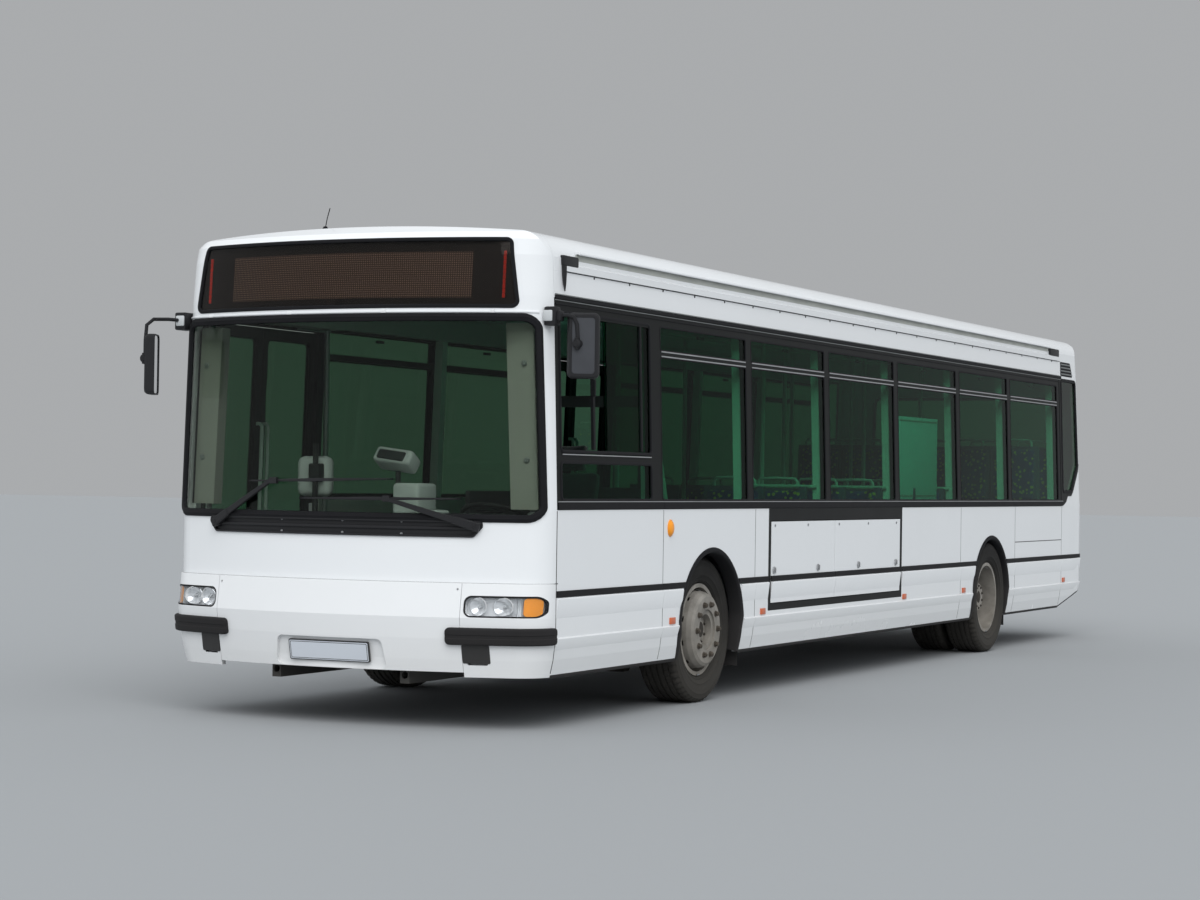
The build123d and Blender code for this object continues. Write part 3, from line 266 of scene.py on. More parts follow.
def film_group():
    tree, entry, end = group("Road film", {"Low": 0.3, "High": 0.8, "Amount": 0.5}, "Mask")
    place = object_place(tree)
    height = add(tree, "SeparateXYZ", (-500, 0), {0: place}).outputs["Z"]
    fade = ramp(tree, height, entry["Low"], entry["High"], 1.0, 0.0)
    stretch = add(tree, "Mapping", (150, 0), {"Vector": place, "Scale": (1.6, 1.6, 1.0)})
    cloud = ramp(tree, noise(tree, stretch.outputs[0], 1.1, 3.0, 0.5), 0.2, 0.8, 0.80, 1.0)
    dense = math(tree, "MULTIPLY", fade, entry["Amount"])
    put(end, {"Mask": math(tree, "MULTIPLY", dense, cloud, clamp=True)})
    return tree


def grain_group():
    tree, entry, end = group("Grain", {"Scale": 200.0, "Wave": 0.0}, "Height")
    place = object_place(tree)
    fine = noise(tree, place, entry["Scale"], 2.0, 0.5)
    wave = math(tree, "MULTIPLY", noise(tree, place, 1.3, 1.0, 0.4), entry["Wave"])
    put(end, {"Height": math(tree, "ADD", fine, wave)})
    return tree


GROUPS = {"mottle": mottle_group(), "film": film_group(), "grain": grain_group()}
print("shader groups", sorted(GROUPS))

# %% [markdown]
# ## One recipe for the opaque finishes
#
# Paint, moulded plastic, rubber, cast iron and floor covering differ in numbers, not in kind. So
# one function builds them all: a base colour that the mottle shades, dust laid over it from the
# ground up, a roughness that rises where the dust lies, and a bump from the grain. The glossy ones
# have a coat.

# %% Finish tools
DUST = (0.30, 0.27, 0.22, 1)
CLEAN = (0.3, 0.9, 0.0)          # no road film: its amount is 0


def shared(tree, key, place, **values):
    """Output of a shared group in this material, with its own values."""
    node = add(tree, "Group", place, node_tree=GROUPS[key])
    put(node, values)
    return node.outputs[0]


def mixed(tree, mask, first, second, place):
    """Mix two colours by a mask. Each colour is a socket or four numbers."""
    node = add(tree, "Mix", place, data_type="RGBA")
    put(node, {"Factor": mask, "A": first, "B": second})
    return node.outputs["Result"]


def finish(name, colour, roughness, shade=0.85, mottle=(1.5, 0.4), film=CLEAN,
           grain=(300.0, 0.0, 0.02), metallic=0.0, coat=0.0, dust=DUST, specular=0.5):
    """An opaque finish: base colour, cloudy shade, road film and grain."""
    material, tree, shader = new_material(name, {
        "Metallic": metallic, "Coat Weight": coat, "Coat Roughness": 0.06,
        "Specular IOR Level": specular})
    cloud = shared(tree, "mottle", (-400, 200), Scale=mottle[0], Contrast=mottle[1])
    spray = shared(tree, "film", (-400, 0), Low=film[0], High=film[1], Amount=film[2])
    relief = shared(tree, "grain", (-400, -300), Scale=grain[0], Wave=grain[1])
    base = mixed(tree, cloud, [c * shade for c in colour] + [1], [*colour, 1], (-100, 200))
    rough = ramp(tree, spray, 0.0, 1.0, roughness, min(0.95, roughness + 0.45))
    uneven = math(tree, "MULTIPLY", cloud, 0.06)
    bump = add(tree, "Bump", (300, -300), {"Height": relief, "Distance": grain[2] / 100})
    put(shader, {"Base Color": mixed(tree, spray, base, dust, (200, 200)),
                 "Roughness": math(tree, "ADD", rough, uneven, clamp=True),
                 "Normal": bump.outputs[0]})
    return material


def cloth(name, colour, spot, rib_scale=150.0):
    """Woven seat cover: ribs both ways, scattered spots of a second colour, and a soft sheen."""
    material, tree, shader = new_material(name, {
        "Roughness": 0.9, "Sheen Weight": 0.35, "Sheen Roughness": 0.4})
    place = object_place(tree)
    ribs = [add(tree, "TexWave", (-400, height), {"Vector": place, "Scale": rib_scale,
                                                  "Distortion": 0.6},
                bands_direction=axis).outputs["Fac"]
            for axis, height in (("X", -200), ("Z", -350), ("Y", -500))]
    height = math(tree, "ADD", math(tree, "MULTIPLY", ribs[0], ribs[1]), ribs[2])
    bump = add(tree, "Bump", (300, -300), {"Height": height, "Distance": 0.0006})
    dots = add(tree, "TexVoronoi", (-400, 300), {"Vector": place, "Scale": 26.0})
    spots = ramp(tree, dots.outputs["Distance"], 0.30, 0.36, 1.0, 0.0)
    cloud = shared(tree, "mottle", (-400, 150), Scale=4.0, Contrast=0.7)
    ground = mixed(tree, cloud, [c * 0.75 for c in colour] + [1], [*colour, 1], (-100, 150))
    put(shader, {"Base Color": mixed(tree, spots, ground, [*spot, 1], (200, 200)),
                 "Normal": bump.outputs[0]})
    return material


print("a film of amount", CLEAN[2], "leaves a finish clean")

# %% [markdown]
# ## The finishes themselves
#
# Each finish is one row: its name, its colour, its roughness, how dark the clouds in it go, the
# mottle's scale and contrast, the road film, the grain, and whatever else it needs. A table is
# easier to compare and to change than as many separate node trees.

# %% Opaque finishes
WHITE = (0.80, 0.815, 0.83)
SOFT_BLACK = (0.011, 0.011, 0.013)
MATERIALS = {
    "white_paint": finish("White body paint", WHITE, 0.22, 0.975, (0.8, 0.5), (0.25, 0.80, 0.13),
                          (900.0, 3.0, 0.010), coat=0.6, dust=(0.5, 0.47, 0.40, 1)),
    "white_bumper": finish("White bumper plastic", (0.79, 0.80, 0.81), 0.30, 0.97, (1.5, 0.5),
                           (0.25, 0.70, 0.14), (700.0, 1.0, 0.012), coat=0.3,
                           dust=(0.45, 0.42, 0.36, 1)),
    "black_plastic": finish("Black moulded plastic", (0.015, 0.015, 0.017), 0.48, 0.8, (6.0, 0.6),
                            (0.2, 0.9, 0.15), (1600.0, 0.0, 0.03), dust=(0.16, 0.15, 0.13, 1)),
    "black_rubber": finish("Black rubber", SOFT_BLACK, 0.62, 0.75, (5.0, 0.7), (0.2, 1.0, 0.20),
                           (900.0, 0.0, 0.03), specular=0.25, dust=(0.12, 0.11, 0.10, 1)),
    "black_frame": finish("Black window enamel", (0.007, 0.008, 0.008), 0.42, 0.8, (2.0, 0.5),
                          (0.9, 1.5, 0.04), (1200.0, 1.0, 0.006), specular=0.15,
                          dust=(0.08, 0.08, 0.075, 1)),
    "tyre_rubber": finish("Tyre rubber", (0.022, 0.021, 0.020), 0.80, 0.65, (9.0, 0.9),
                          (0.0, 1.0, 0.35), (500.0, 0.0, 0.05), specular=0.3,
                          dust=(0.105, 0.095, 0.080, 1)),
    "wheel_steel": finish("Weathered wheel paint", (0.33, 0.31, 0.28), 0.55, 0.62, (7.0, 0.9),
                          (0.0, 0.95, 0.35), (450.0, 0.0, 0.05), metallic=0.1, specular=0.4,
                          dust=(0.21, 0.18, 0.14, 1)),
    "frame_steel": finish("Painted frame steel", (0.03, 0.03, 0.03), 0.65, 0.7, (3.0, 0.8),
                          (0.0, 0.8, 0.45), (300.0, 0.0, 0.05), dust=(0.11, 0.10, 0.085, 1)),
    "cast_steel": finish("Cast steel", (0.07, 0.062, 0.055), 0.75, 0.6, (8.0, 1.0),
                         (0.0, 0.9, 0.40), (180.0, 0.0, 0.15), metallic=0.4,
                         dust=(0.12, 0.10, 0.08, 1)),
    "floor_cover": finish("Speckled floor covering", (0.10, 0.11, 0.12), 0.70, 0.75, (60.0, 0.9),
                          (0.0, 0.5, 0.10), (400.0, 0.0, 0.04)),
    "lining": finish("Cabin lining", (0.52, 0.53, 0.51), 0.55, 0.93, (2.0, 0.5),
                     grain=(1300.0, 0.0, 0.03)),
    "dash_plastic": finish("Grey dash plastic", (0.24, 0.25, 0.25), 0.60, 0.88, (4.0, 0.6),
                           grain=(1500.0, 0.0, 0.05)),
    "pale_plastic": finish("Pale grey plastic", (0.55, 0.57, 0.58), 0.45, 0.92, (4.0, 0.6),
                           grain=(1500.0, 0.0, 0.03)),
    "seat_shell": finish("Seat shell plastic", (0.07, 0.10, 0.16), 0.50, 0.85, (5.0, 0.6),
                         grain=(1500.0, 0.0, 0.04)),
    "handrail": finish("Enamelled handrail", (0.50, 0.62, 0.56), 0.35, 0.9, (6.0, 0.5),
                       grain=(900.0, 0.0, 0.01), coat=0.3),
    "gear_steel": finish("Zinc-plated steel", (0.45, 0.46, 0.47), 0.40, 0.8, (12.0, 0.8),
                         (0.0, 0.5, 0.1), (300.0, 0.0, 0.03), metallic=0.9),
    "trim_metal": finish("Anodised trim", (0.60, 0.61, 0.62), 0.30, 0.85, (4.0, 0.7),
                         grain=(1200.0, 0.0, 0.01), metallic=0.9),
    "board": finish("Dark blind board", (0.012, 0.009, 0.008), 0.6, 0.8, (3.0, 0.5)),
    "red_bar": finish("Red bar", (0.85, 0.045, 0.020), 0.4, 0.9, (3.0, 0.5)),
    "chrome": finish("Bright reflector", (0.95, 0.96, 0.97), 0.18, 0.95, (8.0, 0.4), CLEAN,
                     metallic=0.55),
    "amber": finish("Amber reflector", (0.95, 0.33, 0.008), 0.30, 0.9, (8.0, 0.4), CLEAN,
                    coat=0.6),
    "orange": finish("Orange side reflector", (0.62, 0.115, 0.025), 0.30, 0.85, (20.0, 0.6),
                     (0.3, 0.9, 0.1), coat=0.5),
    # Painted shade: the grey of the gutter channel stands in for the shadow under the gutter lip.
    "gutter_painted_shade": finish("Grey gutter channel with painted shade", (0.42, 0.43, 0.40), 0.60, 0.80, (3.0, 0.8),
                           grain=(700.0, 1.0, 0.02), specular=0.3),
    "seam": finish("Dark panel seam", (0.10, 0.10, 0.10), 0.70, 0.85, (3.0, 0.5)),
    "grey_trim": finish("Dull grey trim", (0.20, 0.21, 0.21), 0.45, 0.85, (3.0, 0.5)),
    "corner_lining": finish("Grey corner lining", (0.34, 0.34, 0.31), 0.55, 0.92, (2.0, 0.5),
                            grain=(1300.0, 0.0, 0.03)),
    "plate": finish("Bare plate", (0.62, 0.66, 0.72), 0.35, 0.95, (3.0, 0.6), (0.2, 0.6, 0.15),
                    coat=0.3),
    "nut_steel": finish("Rusty wheel nuts", (0.150, 0.128, 0.105), 0.60, 0.6, (30.0, 0.9),
                        (0.0, 0.9, 0.15), (600.0, 0.0, 0.05), metallic=0.5,
                        dust=(0.14, 0.115, 0.09, 1)),
    "mirror_glass": finish("Mirror glass", (0.84, 0.86, 0.87), 0.03, 0.98, (3.0, 0.3),
                           grain=(900.0, 0.0, 0.0), metallic=1.0),
    "green_lining": finish("Green pillar lining", (0.84, 0.93, 0.88), 0.50, 0.93, (3.0, 0.5),
                           grain=(1300.0, 0.0, 0.02)),
    "driver_cloth": cloth("Driver's seat cover", (0.022, 0.023, 0.028), (0.03, 0.03, 0.036)),
    "dark_lining": finish("Dark cab lining", (0.035, 0.037, 0.040), 0.60, 0.85, (3.0, 0.6),
                          grain=(1300.0, 0.0, 0.03)),
    "tube_glow": finish("Lamp diffuser", (0.80, 0.81, 0.80), 0.40, 0.97, (3.0, 0.3)),
    "red_lamp": finish("Red marker lamp", (0.45, 0.015, 0.012), 0.25, 0.9, (8.0, 0.4),
                       (0.3, 0.9, 0.1), coat=0.6),
    "teal_panel": finish("Teal panel", (0.62, 0.93, 0.95), 0.45, 0.93, (2.0, 0.5)),
    "dark_grey": finish("Mirror housing plastic", (0.055, 0.058, 0.066), 0.42, 0.85, (8.0, 0.6),
                        grain=(1600.0, 0.0, 0.03)),
    "seat_cloth": cloth("Woven seat cover", (0.016, 0.045, 0.20), (0.55, 0.42, 0.05)),
}
print("opaque finishes", len(MATERIALS))

# %% [markdown]
# ## Glass and lamps
#
# The side windows are tinted green, the windscreen much less. The panes of the far side, with its
# doors, and of the rear are much darker: that extra darkness is painted shade, so that the view
# through the bus comes out dark. Real panes are solids six millimetres thick, so the glass shader
# can bend light as it really does, and its colour is what one pane takes out of the light. A
# shader that lets no light into the cabin would leave it black, because glass blocks shadow rays,
# so for those rays alone part of the pane opens through Alpha.

# %% Glass
def glass(name, colour, opened, roughness=0.0, ior=1.5):
    """Clear or tinted pane. Opened is the share of a lamp's light that it lets through."""
    material, tree, shader = new_material(name, {
        "Base Color": [*colour, 1], "Roughness": roughness, "IOR": ior,
        "Transmission Weight": 1.0})
    rays = add(tree, "LightPath").outputs
    shadow = math(tree, "MULTIPLY", rays["Is Shadow Ray"], opened)
    put(shader, {"Alpha": math(tree, "SUBTRACT", 1.0, shadow)})
    return material


def fluted_lens(name, colour, opened):
    """Moulded lamp cover: tinted, with fine upright flutes."""
    material = glass(name, colour, opened, 0.03)
    tree = material.node_tree
    flutes = add(tree, "TexWave", (-100, -300), {"Vector": object_place(tree), "Scale": 28.0},
                 bands_direction="X")
    bump = add(tree, "Bump", (300, -300), {"Height": flutes.outputs["Fac"], "Distance": 0.002})
    put(next(n for n in tree.nodes if n.type == "BSDF_PRINCIPLED"), {"Normal": bump.outputs[0]})
    return material


def dot_matrix(name, dark, light, pitch):
    """Board of round lamps in rows, from the place on it across and up."""
    material, tree, shader = new_material(name, {"Roughness": 0.45})
    split = add(tree, "SeparateXYZ", (-600, 0), {0: object_place(tree)})
    squares = []
    for axis in ("X", "Z"):
        across = math(tree, "MULTIPLY", split.outputs[axis], 1 / pitch)
        offset = math(tree, "SUBTRACT", math(tree, "FRACT", across), 0.5)
        squares.append(math(tree, "MULTIPLY", offset, offset))
    distance = math(tree, "SQRT", math(tree, "ADD", *squares))
    dots = ramp(tree, distance, 0.26, 0.34, 1.0, 0.0)
    put(shader, {"Base Color": mixed(tree, dots, dark, light, (200, 200))})
    return material


MATERIALS.update({
    "matrix": dot_matrix("Blind matrix", (0.050, 0.034, 0.026, 1), (0.30, 0.20, 0.15, 1), 0.0125),
    "clear_glass": glass("Windscreen glass", (0.52, 0.60, 0.53), 0.75, ior=1.25),
    "tinted_glass": glass("Green side glass", (0.085, 0.33, 0.195), 0.90, ior=1.09),
    # Painted shade: the far-side panes are tinted much darker than the near ones, so the view
    # through the bus comes out dark.
    "far_glass_shaded": glass("Far green glass with painted shade", (0.060, 0.135, 0.080), 0.90, ior=1.15),
    "display": glass("Display glass", (0.50, 0.47, 0.44), 0.7, ior=1.25),
    "lamp_lens": glass("Headlamp glass", (0.93, 0.95, 0.97), 0.85),
    "rear_lens": fluted_lens("Red lamp lens", (0.75, 0.03, 0.02), 0.6),
})
print("all finishes", len(MATERIALS))

# %% [markdown]
# ## Finishes for the construction
#
# The record of the construction names a slot for every node, and most slots have a finish of the
# same name here. A few nodes need a closer one: the panes differ in tint, and the seats are
# moulded plastic. Slots could be filled by hand in the editor, but a table says what is what and
# works for all nodes.

# %% Construction finishes
NODE_FINISH = {
    "headlamps": "lamp_lens", "rear_lamps": "rear_lens", "windscreen": "clear_glass",
    # The far side and the rear take the darker glass, whose extra darkness is painted shade.
    "display_glass": "display", "side_windows_left": "tinted_glass",
    "side_windows_right": "far_glass_shaded", "rear_window": "far_glass_shaded",
    "passenger_seats": "seat_shell", "driver_seat": "driver_cloth",
    "driver_partition": "dark_lining",
}
node_slots = {n["node"]: n["material_slot"] for n in frame["record"]["subparts"]}
for node_name, node in nodes.items():
    material = MATERIALS[NODE_FINISH.get(node_name, node_slots[node_name])]
    if node.material_slots:
        for slot in node.material_slots:
            slot.material = material
    else:
        node.data.materials.append(material)
print("nodes with a finish of their own", len(NODE_FINISH), "of", len(nodes))

# %% [markdown]
# ## The skin as a formula
#
# Seals, trims and lamps lie on the outer skin. The body is a set of plan outlines, each with two
# shallow arcs, two straight sides and four round corners, joined from one height to the next. The
# same few numbers give any point of the skin, so a piece can follow it exactly. Projecting pieces
# with a Shrinkwrap modifier would work too, but it leaves thin profiles twisted at the corners.

# %% Skin
# Height, half width, and how far nose and tail lie from the middle
SKIN_ROWS = [
    (0.300, 1.215, 5.9245, 5.9625), (0.400, 1.236, 5.9495, 5.9775), (0.520, 1.250, 5.9745, 5.9925),
    (0.640, 1.250, 5.9925, 5.9925), (0.832, 1.250, 5.9655, 5.9925), (0.834, 1.250, 5.9455, 5.9925),
    (1.250, 1.250, 5.9445, 5.9925), (2.457, 1.210, 5.9305, 5.9375), (2.690, 1.200, 5.9145, 5.9175),
    (2.780, 1.195, 5.8945, 5.8975), (2.825, 1.190, 5.8425, 5.8425), (2.900, 1.180, 5.6625, 5.6625),
]
NOSE_ARC, TAIL_ARC = 3.05, 6.5
NOSE_CORNER, TAIL_CORNER = 0.215, 0.240


def skin_row(z):
    """Half width, nose and tail of the body at a height."""
    z = min(max(z, SKIN_ROWS[0][0]), SKIN_ROWS[-1][0])
    for low, high in zip(SKIN_ROWS, SKIN_ROWS[1:]):
        if z <= high[0]:
            share = (z - low[0]) / (high[0] - low[0])
            return [a + (b - a) * share for a, b in zip(low[1:], high[1:])]
    return list(SKIN_ROWS[-1][1:])


def corner_at(half, reach, arc, corner):
    """Centre of a corner's arc: distance from the middle in X and along Y."""
    x = half - corner
    return x, reach - arc + sqrt((arc - corner) ** 2 - x ** 2)


def end_y(x, z, rear=False):
    """Distance of the front or rear skin from the middle, at a place across it."""
    half, nose, tail = skin_row(z)
    reach, arc, corner = (tail, TAIL_ARC, TAIL_CORNER) if rear else (nose, NOSE_ARC, NOSE_CORNER)
    centre_x, centre_y = corner_at(half, reach, arc, corner)
    x = min(abs(x), half - 1e-5)
    if x <= centre_x * arc / (arc - corner):
        return reach - arc + sqrt(arc ** 2 - x ** 2)
    return centre_y + sqrt(max(corner ** 2 - (x - centre_x) ** 2, 0))


def on_front(x, z):
    return Vector((x, -end_y(x, z), z))


def on_rear(x, z):
    return Vector((x, end_y(x, z, True), z))


def side_x(y, z):
    """Half width of the body at a place along its side, corners included."""
    half, nose, tail = skin_row(z)
    reach, arc, corner = (tail, TAIL_ARC, TAIL_CORNER) if y > 0 else (nose, NOSE_ARC, NOSE_CORNER)
    centre_x, centre_y = corner_at(half, reach, arc, corner)
    past = abs(y) - centre_y
    return half if past <= 0 else centre_x + sqrt(max(corner ** 2 - past ** 2, 0))


def on_left(y, z):
    return Vector((side_x(y, z), y, z))


def on_right(y, z):
    return Vector((-side_x(y, z), y, z))


def normal_at(surface, a, b):
    """Outward normal of the skin, from two small steps along it."""
    step = 0.002
    along = surface(a + step, b) - surface(a - step, b)
    up = surface(a, b + step) - surface(a, b - step)
    normal = along.cross(up).normalized()
    outwards = surface(a, b) * Vector((1, 1, 0))
    return normal if normal.dot(outwards) > 0 else -normal


print("half width at the waist", skin_row(1.25)[0], "nose at the bumper", end_y(0, 0.64))

# %% [markdown]
# ## Tools for making pieces
#
# Almost every trim on a bus is a profile that runs along a path: a seal round a pane, a rail under
# the hoppers, a lip round a wheel arch. One function sweeps a section along a path on the skin. It
# builds the mesh itself, where a bevelled curve would lose its upright direction on the sloping
# panels. Two more make rounded boxes and turned parts. All of them end in the same way: finish,
# smooth shading, body.

# %% Grids and loops
SMOOTH_ANGLE = radians(35)
SIDES = ((1, "left", on_left), (-1, "right", on_right))


def from_bmesh(name, bm, finish_name, body="body"):
    """Make a bmesh a piece that rides on a body, with its finish."""
    bmesh.ops.remove_doubles(bm, verts=bm.verts, dist=1e-6)
    bmesh.ops.recalc_face_normals(bm, faces=bm.faces)
    mesh = bpy.data.meshes.new(name)
    bm.to_mesh(mesh)
    bm.free()
    mesh.materials.append(MATERIALS[finish_name])
    mesh.shade_smooth()
    mesh.set_sharp_from_angle(angle=SMOOTH_ANGLE)
    piece = link(name, mesh)
    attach(piece, body)
    return piece


def blank(count):
    """Empty meshes for pieces that are drawn side by side."""
    return [bmesh.new() for _ in range(count)]


def add_face(bm, points):
    bm.faces.new([bm.verts.new(p) for p in points])


def add_grid(bm, rows, close_rows=False, close_along=False, caps=False):
    """Quads between rows of points. Rows are lists of equal length."""
    verts = [[bm.verts.new(p) for p in row] for row in rows]
    count = len(rows[0])
    row_pairs = list(zip(verts, verts[1:])) + ([(verts[-1], verts[0])] if close_rows else [])
    for near, far in row_pairs:
        for i in range(count if close_along else count - 1):
            j = (i + 1) % count
            bm.faces.new((near[i], near[j], far[j], far[i]))
    if caps:
        bm.faces.new([row[0] for row in verts])
        bm.faces.new([row[-1] for row in verts][::-1])


def level(start, end, height, parts):
    """Places at one height, in equal steps from start to end."""
    return [(start + (end - start) * k / parts, height) for k in range(parts + 1)]


def rectangle(low_a, high_a, low_b, high_b):
    return [(low_a, low_b), (high_a, low_b), (high_a, high_b), (low_a, high_b)]


def divide(path, spacing):
    """The same open path with extra points, no further apart than the spacing."""
    result = [path[0]]
    for start, end in zip(path, path[1:]):
        parts = max(1, ceil((end - start).length / spacing))
        result += [start.lerp(end, k / parts) for k in range(1, parts + 1)]
    return result


def rounded(corners, radius, spacing=0.05, arc_steps=6):
    """Closed flat path through pairs given in order, each corner rounded, with points between."""
    path = []
    count = len(corners)
    for i in range(count):
        before, here, after = (Vector((*corners[(i + k) % count], 0)) for k in (-1, 0, 1))
        to_before, to_after = (before - here).normalized(), (after - here).normalized()
        half_turn = to_before.angle(to_after) / 2
        reach = radius / tan(half_turn)
        centre = here + (to_before + to_after).normalized() * (radius / sin(half_turn))
        start, end = here + to_before * reach - centre, here + to_after * reach - centre
        path += [centre + start.lerp(end, k / arc_steps).normalized() * radius
                 for k in range(arc_steps + 1)]
    return [(p.x, p.y) for p in divide(path + [path[0]], spacing)[:-1]]


# %% [markdown]
# ## Profiles, boxes, turned parts and bars
#
# A profile is swept along a path by finding three directions at each point of the path: outward
# from the skin, along the path, and sideways. Boxes get their rounded edges from a bevel, because
# a sharp edge never catches light. Turned parts and bars are grids of rings.

# %% Profiles
def skin_frames(surface, path, closed=False):
    """Point, sideways and outward directions on the skin for each point of a path."""
    points = [surface(a, b) for a, b in path]
    frames = []
    count = len(points)
    for i, point in enumerate(points):
        before = points[i - 1] if i or closed else point
        after = points[(i + 1) % count] if i + 1 < count or closed else point
        normal = normal_at(surface, *path[i])
        frames.append((point, (after - before).normalized().cross(normal).normalized(), normal))
    return frames


def add_profile(bm, surface, path, section, closed=False):
    """Sweep a closed section, of (sideways, proud) pairs, along a path on the skin."""
    frames = skin_frames(surface, path, closed)
    add_grid(bm, [[point + aside * u + normal * v for point, aside, normal in frames]
                  for u, v in section], close_rows=True, close_along=closed, caps=not closed)


def strip(name, surface, path, section, finish_name, closed=False):
    """One piece of trim swept along the skin."""
    bm = bmesh.new()
    add_profile(bm, surface, path, section, closed)
    return from_bmesh(name, bm, finish_name)


def ridge(width, height, radius, steps=4, base=0.0):
    """Section of a strip with its two outer edges rounded, lying on the skin."""
    half = width / 2
    points = [(half, base)]
    for corner_x, start in ((half - radius, 0.0), (-half + radius, pi / 2)):
        for k in range(steps + 1):
            angle = start + pi / 2 * k / steps
            points.append((corner_x + radius * cos(angle), height - radius + radius * sin(angle)))
    return points + [(-half, base)]


def flat_ridge(half, top, base=-0.003):
    """Plain section with square edges, for seams and thin mouldings."""
    return [(half, base), (half, top), (-half, top), (-half, base)]


print("points in a rounded ridge", len(ridge(0.04, 0.01, 0.004)))

# %% [markdown]
# ## Solid forms
#
# Small fittings are boxes, turned parts and bars. A box is a cube brought to size and then
# bevelled, because scaling after the bevel would stretch its edges. A bar keeps one side direction
# from ring to ring, so that it doesn't twist in a bend.

# %% Solids
def add_box(bm, low, high, bevel, steps=2, turn=None):
    """Box between two corners with rounded edges. Turn is an optional matrix about its middle."""
    low, high = Vector(low), Vector(high)
    size = high - low
    matrix = Matrix.Translation((low + high) / 2) @ (turn or Matrix.Identity(4))
    made = bmesh.ops.create_cube(bm, size=1.0, matrix=matrix @ Matrix.Diagonal((*size, 1)))
    edges = list({e for v in made["verts"] for e in v.link_edges})
    bmesh.ops.bevel(bm, geom=edges, offset=min(bevel, min(size) * 0.49), segments=steps,
                    profile=0.5, affect="EDGES")


def add_block(bm, centre, reach, bevel):
    """Box about a centre, with its half sizes."""
    add_box(bm, centre - Vector(reach), centre + Vector(reach), bevel)


def add_turned(bm, profile, centre, axis="X", steps=48, start=0.0):
    """Turn (radius, along) pairs about an axis, X, Y or a direction, through the centre."""
    turn = Matrix.Identity(3)
    if isinstance(axis, Vector):
        turn = Vector((0, 0, 1)).rotation_difference(axis).to_matrix()
    rows = []
    for radius, along in profile:
        rows.append([])
        for k in range(steps):
            angle = start + 2 * pi * k / steps
            a, b = radius * cos(angle), radius * sin(angle)
            offset = (along, a, b) if axis == "X" else (a, b, along)
            if axis == "Y":
                offset = (a, along, b)
            rows[-1].append(Vector(centre) + turn @ Vector(offset))
    add_grid(bm, rows, close_along=True)
    return rows


def add_tube(bm, path, radius, steps=12, caps=True):
    """Round bar along a list of points."""
    path = [Vector(p) for p in path]
    rows = []
    side = (path[1] - path[0]).orthogonal()
    for i, point in enumerate(path):
        ahead = (path[min(i + 1, len(path) - 1)] - path[max(i - 1, 0)]).normalized()
        side = (side - ahead * side.dot(ahead)).normalized()
        up = ahead.cross(side)
        angles = [2 * pi * k / steps for k in range(steps)]
        rows.append([point + (side * cos(angle) + up * sin(angle)) * radius for angle in angles])
    add_grid(bm, rows, close_along=True)
    if caps:
        add_face(bm, rows[0])
        add_face(bm, rows[-1])


print("solids: box, block, turned part, bar")

# %% [markdown]
# ## Seals of the front
#
# The windscreen sits in a thick rounded rubber seal that stands proud of the mask, and the
# destination blind's glass in a thinner one. On the real bus both are one extruded length, pushed
# into place and locked by a filler strip, which is the raised bead along the middle. A swept
# section gives just that.

# %% Front seals
WINDSCREEN_EDGE = [(-1.229, 1.189), (1.229, 1.189), (1.183, 2.343), (-1.183, 2.343)]
DISPLAY_EDGE = [(-1.083, 2.391), (1.083, 2.391), (1.027, 2.781), (-1.027, 2.781)]


def drawn_in(corners, by):
    """Corners of a shape drawn in towards its middle."""
    middle_a = sum(a for a, _ in corners) / len(corners)
    middle_b = sum(b for _, b in corners) / len(corners)
    return [(a - by if a > middle_a else a + by, b - by if b > middle_b else b + by)
            for a, b in corners]


def seal_section(width, height, bead=0.0):
    """Rubber seal across its width: a rounded ridge, and a raised bead near its middle."""
    half = width / 2
    points = [(half, -0.012), (half, height * 0.25), (half * 0.82, height * 0.75),
              (half * 0.5, height)]
    if bead:
        points += [(half * 0.25, height + bead * 0.2), (half * 0.1, height + bead),
                   (-half * 0.15, height + bead * 0.2)]
    points += [(-half * 0.5, height), (-half * 0.85, height * 0.7), (-half, height * 0.2),
               (-half, -0.012)]
    return points


def ring_strip(name, surface, loop, section, finish_name="black_rubber"):
    """Trim round an opening."""
    return strip(name, surface, loop, section, finish_name, closed=True)


ring_strip("windscreen_seal", on_front, rounded(drawn_in(WINDSCREEN_EDGE, 0.010), 0.072),
           seal_section(0.046, 0.013, 0.004))
ring_strip("display_seal", on_front, rounded(drawn_in(DISPLAY_EDGE, 0.004), 0.032),
           seal_section(0.022, 0.007))
print("front seals, with", len(seal_section(1, 1, 1)), "points across the thicker one")

# %% [markdown]
# ## The destination blind
#
# Behind the blind's glass stands a board of lamps in rows, with a dark zone at each side and an
# upright row of red lamps in it. Small cylinders would do for the lamps, but a plate whose finish
# shows the dots costs nothing to draw.

# %% Blind
BOARD_DEPTH = 0.029          # behind the skin
BOARD_HEIGHTS = (2.392, 2.456, 2.520, 2.585, 2.650, 2.715, 2.779)
RED_LAMP = (0.0080, 0.004, 0.0125)


def behind(x, z, depth):
    """Place at a depth behind the front skin."""
    return on_front(x, z) + Vector((0, depth, 0))


